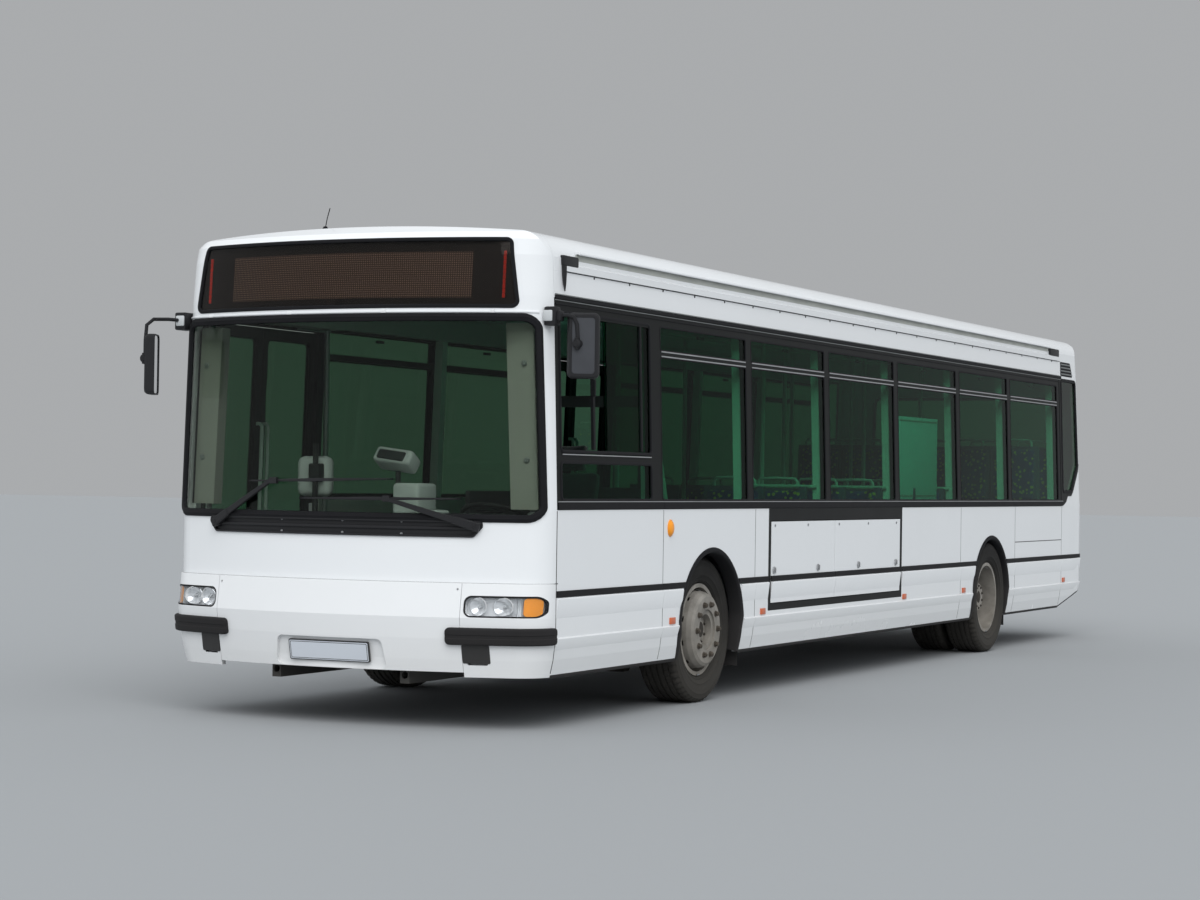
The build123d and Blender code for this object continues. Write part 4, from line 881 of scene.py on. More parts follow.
def display_board():
    """Dark plate in a shallow box, the matrix on it and the red lamps at its sides."""
    board, matrix = blank(2)
    loop = rounded(drawn_in(DISPLAY_EDGE, 0.001), 0.030)
    add_grid(board, [[behind(x, z, back) for x, z in loop] for back in (0.014, BOARD_DEPTH)],
             close_along=True)
    rows = []
    for z in BOARD_HEIGHTS:
        half = 1.080 - 0.044 * (z - 2.391) / 0.39
        # The ends come forward, clear of the frame behind the corner
        rows.append([behind(x, z, BOARD_DEPTH - 0.063 * max(0.0, abs(x) - 0.85))
                     for x, _ in level(-half, half, z, 40)])
    add_grid(board, rows)
    from_bmesh("display_back", board, "board")
    add_grid(matrix, [[behind(x, z, BOARD_DEPTH - 0.005) for x, _ in level(-0.790, 0.810, z, 24)]
                      for z in (2.445, 2.705)])
    from_bmesh("display_matrix", matrix, "matrix")
    for name, x in (("display_bar_right", -0.985), ("display_bar_left", 0.990)):
        bm = bmesh.new()
        for k in range(10):
            add_block(bm, behind(x, 2.456 + k * 0.0268, BOARD_DEPTH - 0.010), RED_LAMP, 0.002)
        from_bmesh(name, bm, "red_bar")


display_board()
print("blind board at", BOARD_DEPTH, "m behind the skin")

# %% [markdown]
# ## Rail and wiper cowl
#
# A thin rail runs across the mask between the blind and the windscreen, held by four clips. Below
# the windscreen lies the cowl of the wipers: a black sheet with a lip round it, a rib and light
# screws.

# %% Rail and cowl
def add_screw(bm, at, normal, radius, height):
    """Low domed screw head on a surface."""
    rows = add_turned(bm, [(radius * share, height * rise) for share, rise in
                           ((1.0, -0.002), (1.0, 0.4), (0.75, 0.85), (0.35, 1.0))],
                      at, normal, 10)
    add_face(bm, rows[-1])


def screws(name, surface, places, radius, finish_name="trim_metal", height=0.003, body="body"):
    """Row of screw heads on the skin."""
    bm = bmesh.new()
    for a, b in places:
        add_screw(bm, surface(a, b), normal_at(surface, a, b), radius, height)
    return from_bmesh(name, bm, finish_name, body)


def front_rail():
    strip("front_rail", on_front, level(-1.172, 1.172, 2.3655, 60),
          [(u, v * 0.6) for u, v in ridge(0.013, 0.012, 0.004)], "white_paint")
    bm = bmesh.new()
    for x in (-0.95, -0.32, 0.31, 0.94):
        add_block(bm, behind(x, 2.367, -0.003), (0.016, 0.007, 0.010), 0.003)
    from_bmesh("front_rail_clips", bm, "white_bumper")


def cowl():
    """Lip round the wiper cowl, a raised middle rib and its light screws."""
    edge = [(-0.931, 1.179), (0.931, 1.179), (0.860, 1.096), (-0.860, 1.096)]
    ring_strip("cowl_lip", on_front, rounded(edge, 0.020), ridge(0.013, 0.012, 0.005),
               "black_plastic")
    strip("cowl_rib", on_front, level(-0.86, 0.86, 1.140, 40),
          [(u, v - 0.006) for u, v in ridge(0.020, 0.013, 0.006)], "black_plastic")
    screws("cowl_screws", lambda x, z: behind(x, z, 0.003),
           [(x, z) for x in (-0.345, 0.075, 0.445) for z in (1.105, 1.176)], 0.008, height=0.005)


front_rail()
cowl()
print("rail at", 2.3655, "m, cowl below", 1.179, "m")

# %% [markdown]
# ## Places round the corner
#
# Lamps and bars run round the corner, where a place measured across the bus is a poor guide: the
# skin is almost square to it. So these pieces use the length along the plan curve instead, as a
# tape measure laid round the bus would.

# %% Corner places
def wrap_at(x, z):
    """Length along the plan curve from the centre line to a place across the front."""
    corner_x = skin_row(z)[0] - NOSE_CORNER
    tangent = asin(corner_x / (NOSE_ARC - NOSE_CORNER))
    reach = abs(x)
    if reach <= NOSE_ARC * sin(tangent):
        length = NOSE_ARC * asin(reach / NOSE_ARC)
    else:
        angle = asin(min(1.0, (reach - corner_x) / NOSE_CORNER))
        length = NOSE_ARC * tangent + NOSE_CORNER * (angle - tangent)
    return length if x >= 0 else -length


def on_wrap(s, z):
    """Point of the skin at a length along the plan curve, round the corner and down the side."""
    half, nose, _ = skin_row(z)
    corner_x, corner_y = corner_at(half, nose, NOSE_ARC, NOSE_CORNER)
    tangent = asin(corner_x / (NOSE_ARC - NOSE_CORNER))
    length = abs(s)
    side = 1 if s >= 0 else -1
    turn = NOSE_ARC * tangent
    if length <= turn:
        angle = length / NOSE_ARC
        return Vector((side * NOSE_ARC * sin(angle),
                       -(nose - NOSE_ARC + NOSE_ARC * cos(angle)), z))
    angle = tangent + (length - turn) / NOSE_CORNER
    if angle <= pi / 2:
        return Vector((side * (corner_x + NOSE_CORNER * sin(angle)),
                       -(corner_y + NOSE_CORNER * cos(angle)), z))
    return Vector((side * half, (angle - pi / 2) * NOSE_CORNER - corner_y, z))


def wrap_loop(corners, radius, spacing=0.012):
    """Rounded loop given as (x, z) corners, as places along the wrap."""
    return [(wrap_at(x, z), z) for x, z in rounded(corners, radius, spacing)]


def off_skin(surface, place, proud):
    """Point at a distance outside the skin, or inside it where the distance is negative."""
    return surface(*place) + normal_at(surface, *place) * proud


def add_panel(bm, surface, loop, outer, inner=None, rings=6):
    """Fill a loop on a surface: a skin at the outer offset, and one at the inner if given."""
    middle = tuple(sum(p[i] for p in loop) / len(loop) for i in (0, 1))
    edges = []
    for offset in (outer,) if inner is None else (outer, inner):
        rows = []
        for ring in range(rings):
            share = 1 - ring / rings
            rows.append([off_skin(surface, (middle[0] + (a - middle[0]) * share,
                                            middle[1] + (b - middle[1]) * share), offset)
                         for a, b in loop])
        add_grid(bm, rows, close_along=True)
        hub = off_skin(surface, middle, offset)
        for k, point in enumerate(rows[-1]):
            add_face(bm, (point, rows[-1][(k + 1) % len(loop)], hub))
        edges.append(rows[0])
    if inner is not None:
        add_grid(bm, edges, close_along=True)


def panel(name, surface, loop, outer, inner, finish_name, rings=6):
    """A sheet that follows the skin inside a loop."""
    bm = bmesh.new()
    add_panel(bm, surface, loop, outer, inner, rings)
    return from_bmesh(name, bm, finish_name)


def mirror_loop(loop, side):
    return [(a * side, b) for a, b in loop]


print("corner begins", round(wrap_at(1.25 - NOSE_CORNER, 0.7), 3), "m from the middle")

# %% [markdown]
# ## Headlamps
#
# A headlamp is a thin cover over a bright housing with two round reflectors, and an amber lamp at
# its outer end. The reflectors are parabolic bowls, so that they gather the light of the studio as
# real ones do. A bright disc would look the same from the front and flat from everywhere else.

# %% Headlamps
LAMP_EDGE = rectangle(0.831, 1.242, 0.645, 0.763)
AMBER_EDGE = rectangle(1.152, 1.232, 0.652, 0.756)
LAMP_Z = 0.704
BOWL_RADIUS = 0.050
BOWLS = ((0.905, 1.00), (1.040, 1.22))      # place across and how much wider than tall
RIM_SECTION = [(0.004, -0.012), (0.004, -0.002), (0.0, 0.0005), (-0.004, -0.002),
               (-0.004, -0.012)]


def add_bowl(bm, mouth, wider):
    """Parabolic reflector that opens to the front."""
    bowl = bmesh.new()
    profile = [(BOWL_RADIUS, 0.0), (BOWL_RADIUS + 0.003, 0.002), (BOWL_RADIUS + 0.003, 0.004)]
    profile += [(BOWL_RADIUS * sqrt(1 - k / 7), 0.004 + 0.030 * k / 7) for k in range(7)]
    add_turned(bowl, profile + [(0.004, 0.034)], mouth, "Y", 40)
    for vert in bowl.verts:
        vert.co.x = mouth.x + (vert.co.x - mouth.x) * wider
    mesh = bpy.data.meshes.new("bowl")
    bowl.to_mesh(mesh)
    bowl.free()
    bm.from_mesh(mesh)
    bpy.data.meshes.remove(mesh)


def headlamp(side, where):
    """Cover, housing, two reflectors with bulbs, and the amber lamp."""
    edge = mirror_loop(LAMP_EDGE, side)
    cover = panel("headlamp_cover_" + where, on_wrap, wrap_loop(edge, 0.040), -0.003, -0.0055,
                  "lamp_lens", 5)
    inner = wrap_loop(drawn_in(edge, 0.003), 0.038)
    housing, bowls, bulbs, divider = blank(4)
    add_grid(housing, [[off_skin(on_wrap, at, depth) for at in inner]
                       for depth in (-0.007, -0.043)], close_along=True)
    add_panel(housing, on_wrap, inner, -0.043, None, 5)
    for x, wider in BOWLS:
        mouth = behind(x * side, LAMP_Z, 0.010)
        add_bowl(bowls, mouth, wider)
        add_turned(bulbs, [(0.0, 0.012), (0.008, 0.013), (0.011, 0.018), (0.011, 0.032)], mouth,
                   "Y", 16)
    from_bmesh("headlamp_housing_" + where, housing, "chrome")
    from_bmesh("headlamp_bowls_" + where, bowls, "chrome")
    from_bmesh("headlamp_bulbs_" + where, bulbs, "pale_plastic")
    panel("indicator_" + where, on_wrap, wrap_loop(mirror_loop(AMBER_EDGE, side), 0.022),
          -0.008, -0.024, "amber", 4)
    # Pale bridge between the reflectors and the amber lamp
    for x in (1.118, 1.143):
        add_grid(divider, [[off_skin(on_wrap, (wrap_at(x * side, z), z), depth)
                            for depth in (-0.008, -0.040)] for z in (0.650, 0.758)])
    from_bmesh("headlamp_divider_" + where, divider, "pale_plastic")
    ring_strip("headlamp_rim_" + where, on_wrap, wrap_loop(drawn_in(edge, 0.0035), 0.037),
               RIM_SECTION)
    return cover


for lamp_side, lamp_where, _ in SIDES:
    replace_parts(headlamp(lamp_side, lamp_where), "headlamps")
print("headlamps, each with", len(BOWLS), "reflectors")

# %% [markdown]
# ## Bumper bars, pockets and seams
#
# Each front corner has a black rubber bar with rounded ends and a shallow groove along it, and
# under the bar a pocket with a step in it. The bar is a swept section that shrinks at both ends. A
# bevel on the finished bar would round them too, but it would also eat into the groove.

# %% Bumper bars
BAR_Z, BAR_HALF, BAR_PROUD, BAR_EDGE = 0.537, 0.049, 0.027, 0.013
BAR_START, BAR_END, BAR_TAPER = 0.727, 1.2499, 0.030
WRAP_PAST = 0.012            # past the end of the corner, on to the side
SEAM_Z = 0.834


def tapering(frames, section, taper, least):
    """Rows of a section along frames. It shrinks at both ends over the taper's length."""
    gone = [0.0]
    for before, after in zip(frames, frames[1:]):
        gone.append(gone[-1] + (after[0] - before[0]).length)
    shares = []
    for at in gone:
        left = min(at, gone[-1] - at)
        full = 1.0 if left >= taper else sqrt(1 - (1 - left / taper) ** 2)
        shares.append(least + (1 - least) * full)
    return [[point + aside * u * share + normal * (v * share if v > 0 else v)
             for (point, aside, normal), share in zip(frames, shares)] for u, v in section]


def bumper_bar(side, where):
    """Black rubber bar with rounded edges and ends, and a shallow groove along it."""
    start, end = wrap_at(BAR_START, BAR_Z), wrap_at(BAR_END, BAR_Z) + WRAP_PAST
    # Places crowd together at both ends, where the bar is rounded
    crowd = [BAR_TAPER * (k / 7) ** 2 for k in range(7)]
    path = [start + d for d in crowd]
    path += [s for s, _ in level(start, end, 0, 90) if start + 0.031 < s < end - 0.031]
    path += [end - d for d in reversed(crowd)]
    arc = [(BAR_EDGE * cos(k * pi / 8), BAR_EDGE * sin(k * pi / 8)) for k in range(5)]
    flat, top = BAR_HALF - BAR_EDGE, BAR_PROUD - BAR_EDGE
    section = [(BAR_HALF, -0.002)] + [(flat + a, top + b) for a, b in arc]
    section += [(0.012, BAR_PROUD), (0.008, BAR_PROUD - 0.003), (-0.008, BAR_PROUD - 0.003),
                (-0.012, BAR_PROUD)]
    section += [(-flat - b, top + a) for a, b in arc] + [(-BAR_HALF, -0.002)]
    frames = skin_frames(on_wrap, [(side * s, BAR_Z) for s in path])
    bm = bmesh.new()
    add_grid(bm, tapering(frames, section, BAR_TAPER, 0.55), close_rows=True, caps=True)
    return from_bmesh("bumper_bar_" + where, bm, "black_rubber")


def step_pocket(side, where):
    """Dark liner in the pocket below a bar."""
    panel("step_pad_" + where, on_front,
          rounded(mirror_loop(rectangle(0.814, 0.966, 0.382, 0.4875), side), 0.008, 0.03),
          0.0025, -0.002, "black_plastic", 3)
    loop = rounded(mirror_loop(rectangle(0.842, 0.946, 0.376, 0.474), side), 0.006, 0.03)
    bm = bmesh.new()
    add_grid(bm, [[behind(x, z, depth) for x, z in loop] for depth in (0.001, 0.028)],
             close_along=True)
    add_panel(bm, on_front, loop, -0.0275, None, 3)
    from_bmesh("step_pocket_" + where, bm, "black_plastic")


for bar_side, bar_where, _ in SIDES:
    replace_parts(bumper_bar(bar_side, bar_where), "bumper_bars")
for pocket_side, pocket_where, _ in SIDES:
    step_pocket(pocket_side, pocket_where)
seam_reach = wrap_at(BAR_END, SEAM_Z) + WRAP_PAST
strip("mask_seam", on_wrap, level(-seam_reach, seam_reach, SEAM_Z, 120),
      [(0.0035, -0.003), (0.0030, 0.0008), (-0.0030, 0.0008), (-0.0035, -0.003)], "seam")
screws("bumper_screws", on_front, [(x, 0.800) for x in (-0.79, 0.79)], 0.006)
print("bars from", BAR_START, "m across, seam at", SEAM_Z, "m")

# %% [markdown]
# ## Number plate
#
# A bare plate with a thin dark border sits on a black holder and leans with the bumper. A plate
# could be a single box, but the border and the holder's edge are what make it read as a plate.

# %% Plate
PLATE_HALF, PLATE_LOW, PLATE_HIGH = 0.2605, 0.3695, 0.4785


def number_plate(name, surface, depth):
    """Holder, face and border, following the slope of their place."""
    middle = (PLATE_LOW + PLATE_HIGH) / 2
    tall = (PLATE_HIGH - PLATE_LOW) / 2
    ahead = normal_at(surface, 0, middle)
    up = (surface(0, PLATE_HIGH) - surface(0, PLATE_LOW)).normalized()
    centre = surface(0, middle) + ahead * depth

    def row(w, h, radius, lift, grow=0.0):
        """Rounded outline at a height over the plate's place."""
        return [centre + Vector((x + (grow if x > 0 else -grow), 0, 0))
                + up * (y + (grow if y > 0 else -grow)) + ahead * lift
                for x, y in rounded(rectangle(-w, w, -h, h), radius, 0.2, 4)]

    for label, extra, z0, z1, radius, key in (
            ("holder", 0.006, -0.012, 0.0, 0.010, "black_plastic"),
            ("face", 0.0, 0.0, 0.0022, 0.008, "plate")):
        bm = bmesh.new()
        rows = [row(PLATE_HALF + extra, tall + extra, radius, z) for z in (z0, z1)]
        add_grid(bm, rows, close_along=True)
        add_face(bm, rows[1])
        from_bmesh(name + "_" + label, bm, key)
    bm = bmesh.new()
    add_grid(bm, [row(PLATE_HALF - 0.005, tall - 0.005, 0.006, lift, grow) for grow, lift in
                  ((0.0, 0.0020), (0.0, 0.0027), (-0.003, 0.0027), (-0.003, 0.0020))],
             close_rows=True, close_along=True)
    from_bmesh(name + "_border", bm, "black_plastic")


number_plate("front_plate", on_front, -0.010)
print("plate", 2 * PLATE_HALF, "m wide")

# %% [markdown]
# ## Runs along the sides
#
# Each side carries a black moulding with a pale ledge under it, a second ledge where the skirt
# tucks in, and a rubber edge along its foot. All of them stop at the panel seams, the wheel
# arches, the service bay and the doorways, so every run is first cut into what is left between
# those gaps.

# %% Runs
FRONT_AXLE, REAR_AXLE, HUB_Z, ARCH = -3.2975, 2.8225, 0.470, 0.530
LEG_IN = 0.020               # the legs of an arch below the hub stand closer together
SKIRT_END, SKIRT_RISE = 5.055, 0.165 / 0.820
BAY = (-2.336, 0.448)
DOORWAY = [(-5.494, -4.230), (-1.062, 0.202)]
SEAMS = [-5.548, -4.080, -2.575, 1.950, 3.525, 5.055, 5.735]
LEDGE_H, LEDGE_TOP = 0.115, 0.753
MOULDING_Z = 0.773
MOULDING = ridge(0.037, 0.008, 0.003, base=-0.002)


def run_places(side, y0, y1, z):
    """Places along one side at one height, in the order that turns a profile outwards."""
    path = level(y0, y1, z, max(2, ceil((y1 - y0) / 0.25)))
    return path[::-1] if side > 0 else path


def runs_along(side, section, finish_name, runs, name, z, body="body"):
    """Straight strips along one side at one height."""
    bm = bmesh.new()
    for y0, y1 in runs:
        add_profile(bm, on_left if side > 0 else on_right, run_places(side, y0, y1, z), section)
    return from_bmesh(name, bm, finish_name, body)


def ledge_section(height, proud):
    """Bevel that leaves the panel at its foot and ends in a rounded edge at its top."""
    half = height / 2
    edge = min(0.010, proud - 0.001)
    arc = [(half - edge + edge * cos(pi * k / 8), proud - edge + edge * sin(pi * k / 8))
           for k in range(5)]
    return [(half, -0.002)] + arc + [(-half, 0.0004), (-half, -0.002)]


def cut_out(y0, y1, gaps):
    """What is left of a run once gaps are taken out of it, each end pulled back by 1.5 mm."""
    left = [(y0, y1)]
    for low, high in gaps:
        left = [part for a, b in left for part in ((a, min(b, low)), (max(a, high), b))
                if part[1] - part[0] > 0.01]
    return [(a + 0.0015, b - 0.0015) for a, b in left]


def door_gaps(side, more):
    """The doorways of a side as gaps, each a little wider than the opening."""
    return [(a - more, b + more) for a, b in DOORWAY] if side < 0 else []


def side_runs(side, z):
    """Runs between the seams at one height, clear of arches, the service bay and the doorways."""
    reach = sqrt(ARCH ** 2 - (z - HUB_Z) ** 2) if z > HUB_Z else ARCH - LEG_IN
    gaps = [(axle - reach - 0.002, axle + reach + 0.002) for axle in (FRONT_AXLE, REAR_AXLE)]
    gaps += [BAY] if side > 0 and z > 0.556 else []
    gaps += door_gaps(side, 0.012)
    return [run for a, b in zip(SEAMS, SEAMS[1:]) for run in cut_out(a, b, gaps)]


def side_trims(side, where, surface):
    """Moulding, both ledges and the rubber edge of the skirt, which climbs to the tail."""
    ledge_z = LEDGE_TOP - LEDGE_H / 2
    runs_along(side, MOULDING, "black_rubber", side_runs(side, MOULDING_Z), "moulding_" + where,
               MOULDING_Z)
    runs_along(side, ledge_section(LEDGE_H, 0.013), "white_paint", side_runs(side, ledge_z),
               "ledge_" + where, ledge_z)
    runs_along(side, ledge_section(0.070, 0.009), "white_paint", side_runs(side, 0.492),
               "skirt_ledge_" + where, 0.492)
    runs_along(side, [(0.010, -0.004), (0.010, 0.001), (0.0, 0.004), (-0.010, 0.001),
                      (-0.010, -0.004)], "black_rubber",
               [run for run in side_runs(side, 0.304) if run[1] < SKIRT_END],
               "skirt_edge_" + where, 0.306)
    path = [(SKIRT_END + d, 0.308 + d * SKIRT_RISE) for d, _ in level(0, 0.66, 0, 12)]
    strip("skirt_rise_" + where, surface, path, flat_ridge(0.006, 0.001, -0.004), "black_rubber")


for trim_side in SIDES:
    side_trims(*trim_side)
print("moulding runs", [len(side_runs(side, MOULDING_Z)) for side, _, _ in SIDES])

# %% [markdown]
# ## Lips of the wheel arches
#
# A rubber lip lies in the edge of each arch and turns in behind the panel. Below the hub the two
# legs of the arch stand a little closer together, so its path is a half circle on two straight
# legs. A torus cut in half would be quicker to draw and wrong in that place.

# %% Arch lips
LIP = 0.037
LIP_FOOT = 0.306


def arch_path(axle, radius):
    """Up one leg, round the arch and down the other leg."""
    leg = radius - LEG_IN
    foot = [LIP_FOOT + (HUB_Z - LIP_FOOT) * k / 5 for k in range(6)]
    arc = [(axle - radius * cos(pi * k / 44), HUB_Z + radius * sin(pi * k / 44))
           for k in range(2, 43)]
    return [(axle - leg, z) for z in foot] + arc + [(axle + leg, z) for z in foot[::-1]]


def arch_lip(name, surface, axle):
    half = LIP / 2
    section = [(-half, -0.001), (-half + 0.003, 0.004), (-half + 0.010, 0.009), (0.004, 0.010),
               (half - 0.006, 0.006), (half, -0.004), (half, -0.085), (half - 0.006, -0.085),
               (half - 0.006, -0.006), (-half + 0.006, -0.004)]
    path = arch_path(axle, ARCH - half + 0.004)
    if skin_frames(surface, path)[26][1].z > 0:
        section = [(-u, v) for u, v in section]
    strip(name, surface, path, section, "black_rubber")


for _, lip_where, lip_surface in SIDES:
    arch_lip("arch_lip_front_" + lip_where, lip_surface, FRONT_AXLE)
    arch_lip("arch_lip_rear_" + lip_where, lip_surface, REAR_AXLE)
print("lip radius", ARCH - LIP / 2)

# %% [markdown]
# ## Band, cantrail and panel seams
#
# A dark profile with a bright line runs along the foot of the windows, and a double line along
# their head. Above lies the cantrail with its row of screws, and the gutter: a lip that hangs over
# a channel whose grey is painted shade, the shadow under the lip. The panels of the lower side
# meet in dark upright seams.

# %% Band and seams
BAND = (-5.540, 5.090)
GUTTER = (-5.250, 4.70)
GUTTER_LIP = [(0.012, -0.003), (0.014, 0.012), (0.010, 0.022), (0.002, 0.024), (-0.004, 0.021),
              (-0.003, 0.017), (0.003, 0.015), (0.002, 0.003), (0.000, -0.003)]
BAND_LINES = (
    ("band_head_", ridge(0.022, 0.010, 0.005, base=-0.003), "black_rubber", 2.4600),
    ("band_head_line_", ridge(0.007, 0.011, 0.002, base=-0.003), "grey_trim", 2.4760),
    ("band_head_second_", ridge(0.006, 0.005, 0.002, base=-0.003), "grey_trim", 2.4440),
    ("band_head_bead_", ridge(0.009, 0.006, 0.003, base=-0.003), "black_rubber", 2.4225),
)


def band_trims(side, where, surface):
    """Profiles under and over the windows, the cantrail's seam and screws, and the gutter."""
    low = [run for a, b in ((BAND[0], -4.080), (-4.080, 0.5), (0.5, BAND[1]))
           for run in cut_out(a, b, door_gaps(side, 0.004))]
    runs_along(side, ridge(0.040, 0.007, 0.004, base=-0.003), "black_rubber", low,
               "band_foot_" + where, 1.273)
    runs_along(side, ridge(0.006, 0.0062, 0.002, base=-0.003), "trim_metal", low,
               "band_line_" + where, 1.2975)
    for name, section, finish_name, z in BAND_LINES:
        runs_along(side, section, finish_name, [BAND], name + where, z)
    runs_along(side, flat_ridge(0.0020, 0.0015), "black_rubber", [(-5.40, 5.09)],
               "cantrail_seam_" + where, 2.6125)
    screws("cantrail_screws_" + where, surface, [(-5.02 + 0.4915 * k, 2.6035) for k in range(21)],
           0.0075, "black_plastic", 0.004)
    runs_along(side, GUTTER_LIP, "white_paint", [GUTTER], "gutter_lip_" + where, 2.7230)
    # The channel's grey is painted shade, the shadow under the lip above it.
    runs_along(side, [(0.019, -0.003), (0.017, 0.0015), (-0.017, 0.0015), (-0.019, -0.003)],
               "gutter_painted_shade", [GUTTER], "gutter_channel_" + where, 2.7040)


def panel_seams(side, where, surface):
    """Dark upright joints between the panels, and the level one of the rear vent."""
    for k, y in enumerate(SEAMS[:-1]):
        if any(a < y < b for a, b in door_gaps(side, 0.02)):
            continue
        path = [(y, z) for z, _ in level(0.325, 1.245, 0, 40)]
        strip("seam_%d_%s" % (k, where), surface, path,
              flat_ridge(0.0027 if k else 0.0040, 0.0006), "seam")
    runs_along(side, flat_ridge(0.0035, 0.0008), "seam", [(3.530, 5.052)], "vent_seam_" + where,
               0.935)


for band_side in SIDES:
    band_trims(*band_side)
    panel_seams(*band_side)

# %% [markdown]
# ## Window rubbers and hoppers
#
# Every side window is a fixed pane with a narrow hopper above it. A thin rubber runs round both,
# and a pair of bright rails lies where they meet. The hopper's catch stands behind the upper part
# of its pane.

# %% Windows
LEFT_WINDOWS = [(-4.095, -2.705), (-2.615, -1.225), (-1.135, 0.295), (0.385, 1.865),
                (1.955, 3.335), (3.425, 4.955)]
RIGHT_WINDOWS = [(-4.150, -2.705), (-2.615, -1.150), (0.290, 1.865), (1.955, 3.335),
                 (3.425, 4.955)]
FIXED_PANE, HOPPER = (1.305, 2.192, 0.026), (2.228, 2.380, 0.022)   # foot, head, corner
PANE_SEAL = [(0.008, -0.006), (0.008, -0.001), (0.003, 0.002), (-0.003, 0.002),
             (-0.008, -0.001), (-0.008, -0.006)]


def window_trims(side, where, surface):
    seals, rails, catches = blank(3)
    for y0, y1 in LEFT_WINDOWS if side > 0 else RIGHT_WINDOWS:
        for z0, z1, radius in (FIXED_PANE, HOPPER):
            add_profile(seals, surface, rounded(rectangle(y0, y1, z0, z1), radius, 0.4, 4),
                        PANE_SEAL, closed=True)
        for z in (2.1955, 2.2245):
            path = level(y0 + 0.012, y1 - 0.012, z, 2)
            add_profile(rails, surface, path[::-1] if side > 0 else path,
                        ridge(0.0085, 0.004, 0.002, base=-0.004))
        add_block(catches, off_skin(surface, ((y0 + y1) / 2, 2.345), -0.030),
                  (0.010, 0.045, 0.010), 0.004)
    from_bmesh("window_seals_" + where, seals, "black_rubber")
    from_bmesh("hopper_rails_" + where, rails, "trim_metal")
    from_bmesh("hopper_catches_" + where, catches, "black_plastic")


for window_side in SIDES:
    window_trims(*window_side)
print("windows", len(LEFT_WINDOWS), "left,", len(RIGHT_WINDOWS), "right")

# %% [markdown]
# ## Small lamps on the sides
#
# An amber repeater sits behind the driver's window, domed and oval, and small orange reflectors
# mark the length of the bus above the skirt.

# %% Side lamps
REPEATER = (-3.979, 1.133)
REFLECTOR_Y = {1: [-3.93, -2.43, 0.515, 2.04, 5.135], -1: [-3.93, -2.43, 0.60, 2.04, 5.135]}


def oval_rows(at, rings, grow_y, grow_z):
    """Oval rings about a place on the left side. Each is a share of its size and a height."""
    return [[at + Vector((out, (0.034 + grow_y * (share - 1)) * cos(k * pi / 16),
                          (0.048 + grow_z * (share - 1)) * sin(k * pi / 16))) for k in range(32)]
            for share, out in rings]


lens, lens_rim = blank(2)
lens_rows = oval_rows(on_left(*REPEATER), ((1.0, -0.002), (1.0, 0.006), (0.88, 0.014),
                                           (0.6, 0.020), (0.25, 0.022)), 0.034, 0.048)
add_grid(lens, lens_rows, close_along=True)
add_face(lens, lens_rows[-1])
add_grid(lens_rim, oval_rows(on_left(*REPEATER), ((1.0, -0.002), (1.2, 0.0), (1.2, 0.003),
                                                  (1.1, 0.007), (1.0, 0.007)), 0.030, 0.030),
         close_along=True)
from_bmesh("repeater_lens", lens, "amber")
from_bmesh("repeater_rim", lens_rim, "amber")
for side, where, surface in SIDES:
    reflectors = bmesh.new()
    for y in REFLECTOR_Y[side]:
        add_block(reflectors, surface(y, 0.556) + Vector((0.001, 0, 0)), (0.007, 0.042, 0.021),
                  0.004)
    from_bmesh("side_reflectors_" + where, reflectors, "orange")
print("reflectors a side", len(REFLECTOR_Y[1]))

# %% [markdown]
# ## Fittings of the service flaps
#
# The two flaps carry their own stretch of moulding and ledge, two or three screws along the top,
# and quarter-turn latches. They ride on the flaps' bodies, so they lift with them. Left on the bus
# they would hang in the air as soon as a flap opens.

# %% Service flaps
FLAPS = {
    "front": ((-2.284, -1.0515), (-2.219, -1.591), (-2.234, -1.391)),
    "rear": ((-1.0445, 0.396), (-0.961, -0.333, 0.309), (-0.548, 0.294)),
}

for end, (run, heads, latch_places) in FLAPS.items():
    body = "service_flap_" + end
    screws("flap_screws_" + end, on_left, [(y, 1.133) for y in heads], 0.010, "gear_steel", 0.004,
           body)
    latches = bmesh.new()
    for y in latch_places:
        at = on_left(y, 0.829)
        add_turned(latches, [(0.0, 0.012), (0.019, 0.012), (0.024, 0.008), (0.024, -0.001)], at,
                   "X", 24)
        add_block(latches, at + Vector((0.0145, 0, 0)), (0.0035, 0.005, 0.017), 0.002)
    from_bmesh("flap_latches_" + end, latches, "trim_metal", body)
    runs_along(1, MOULDING, "black_rubber", [run], "flap_moulding_" + end, MOULDING_Z, body)
    runs_along(1, ledge_section(LEDGE_H, 0.013), "white_paint", [run], "flap_ledge_" + end,
               LEDGE_TOP - LEDGE_H / 2, body)
print("flaps", list(FLAPS))

# %% [markdown]
# ## Gutter ends, quarter windows and aerial
#
# Black brackets close the gutters, with a drain spike under the front one. Behind the last side
# window the black band sweeps up round a quarter window, and louvres sit above it. A whip aerial
# stands on a rubber foot near the front of the roof.

# %% Gutter ends and quarters
QUARTER_EDGE = [(5.105, 1.385), (5.395, 1.385), (5.640, 1.640), (5.602, 2.440), (5.105, 2.440)]
LOUVRE_MOUTH = [(5.100, 2.478), (5.520, 2.478), (5.440, 2.612), (5.100, 2.612)]
BAND_SWEEP = [(5.060, 1.262), (5.130, 1.262), (5.215, 1.292), (5.275, 1.345), (5.275, 1.400),
              (5.060, 1.400)]
QUARTER_BORDER = [(5.270, 1.374), (5.385, 1.374), (5.440, 1.408), (5.540, 1.512),
                  (5.622, 1.598), (5.650, 1.660)]


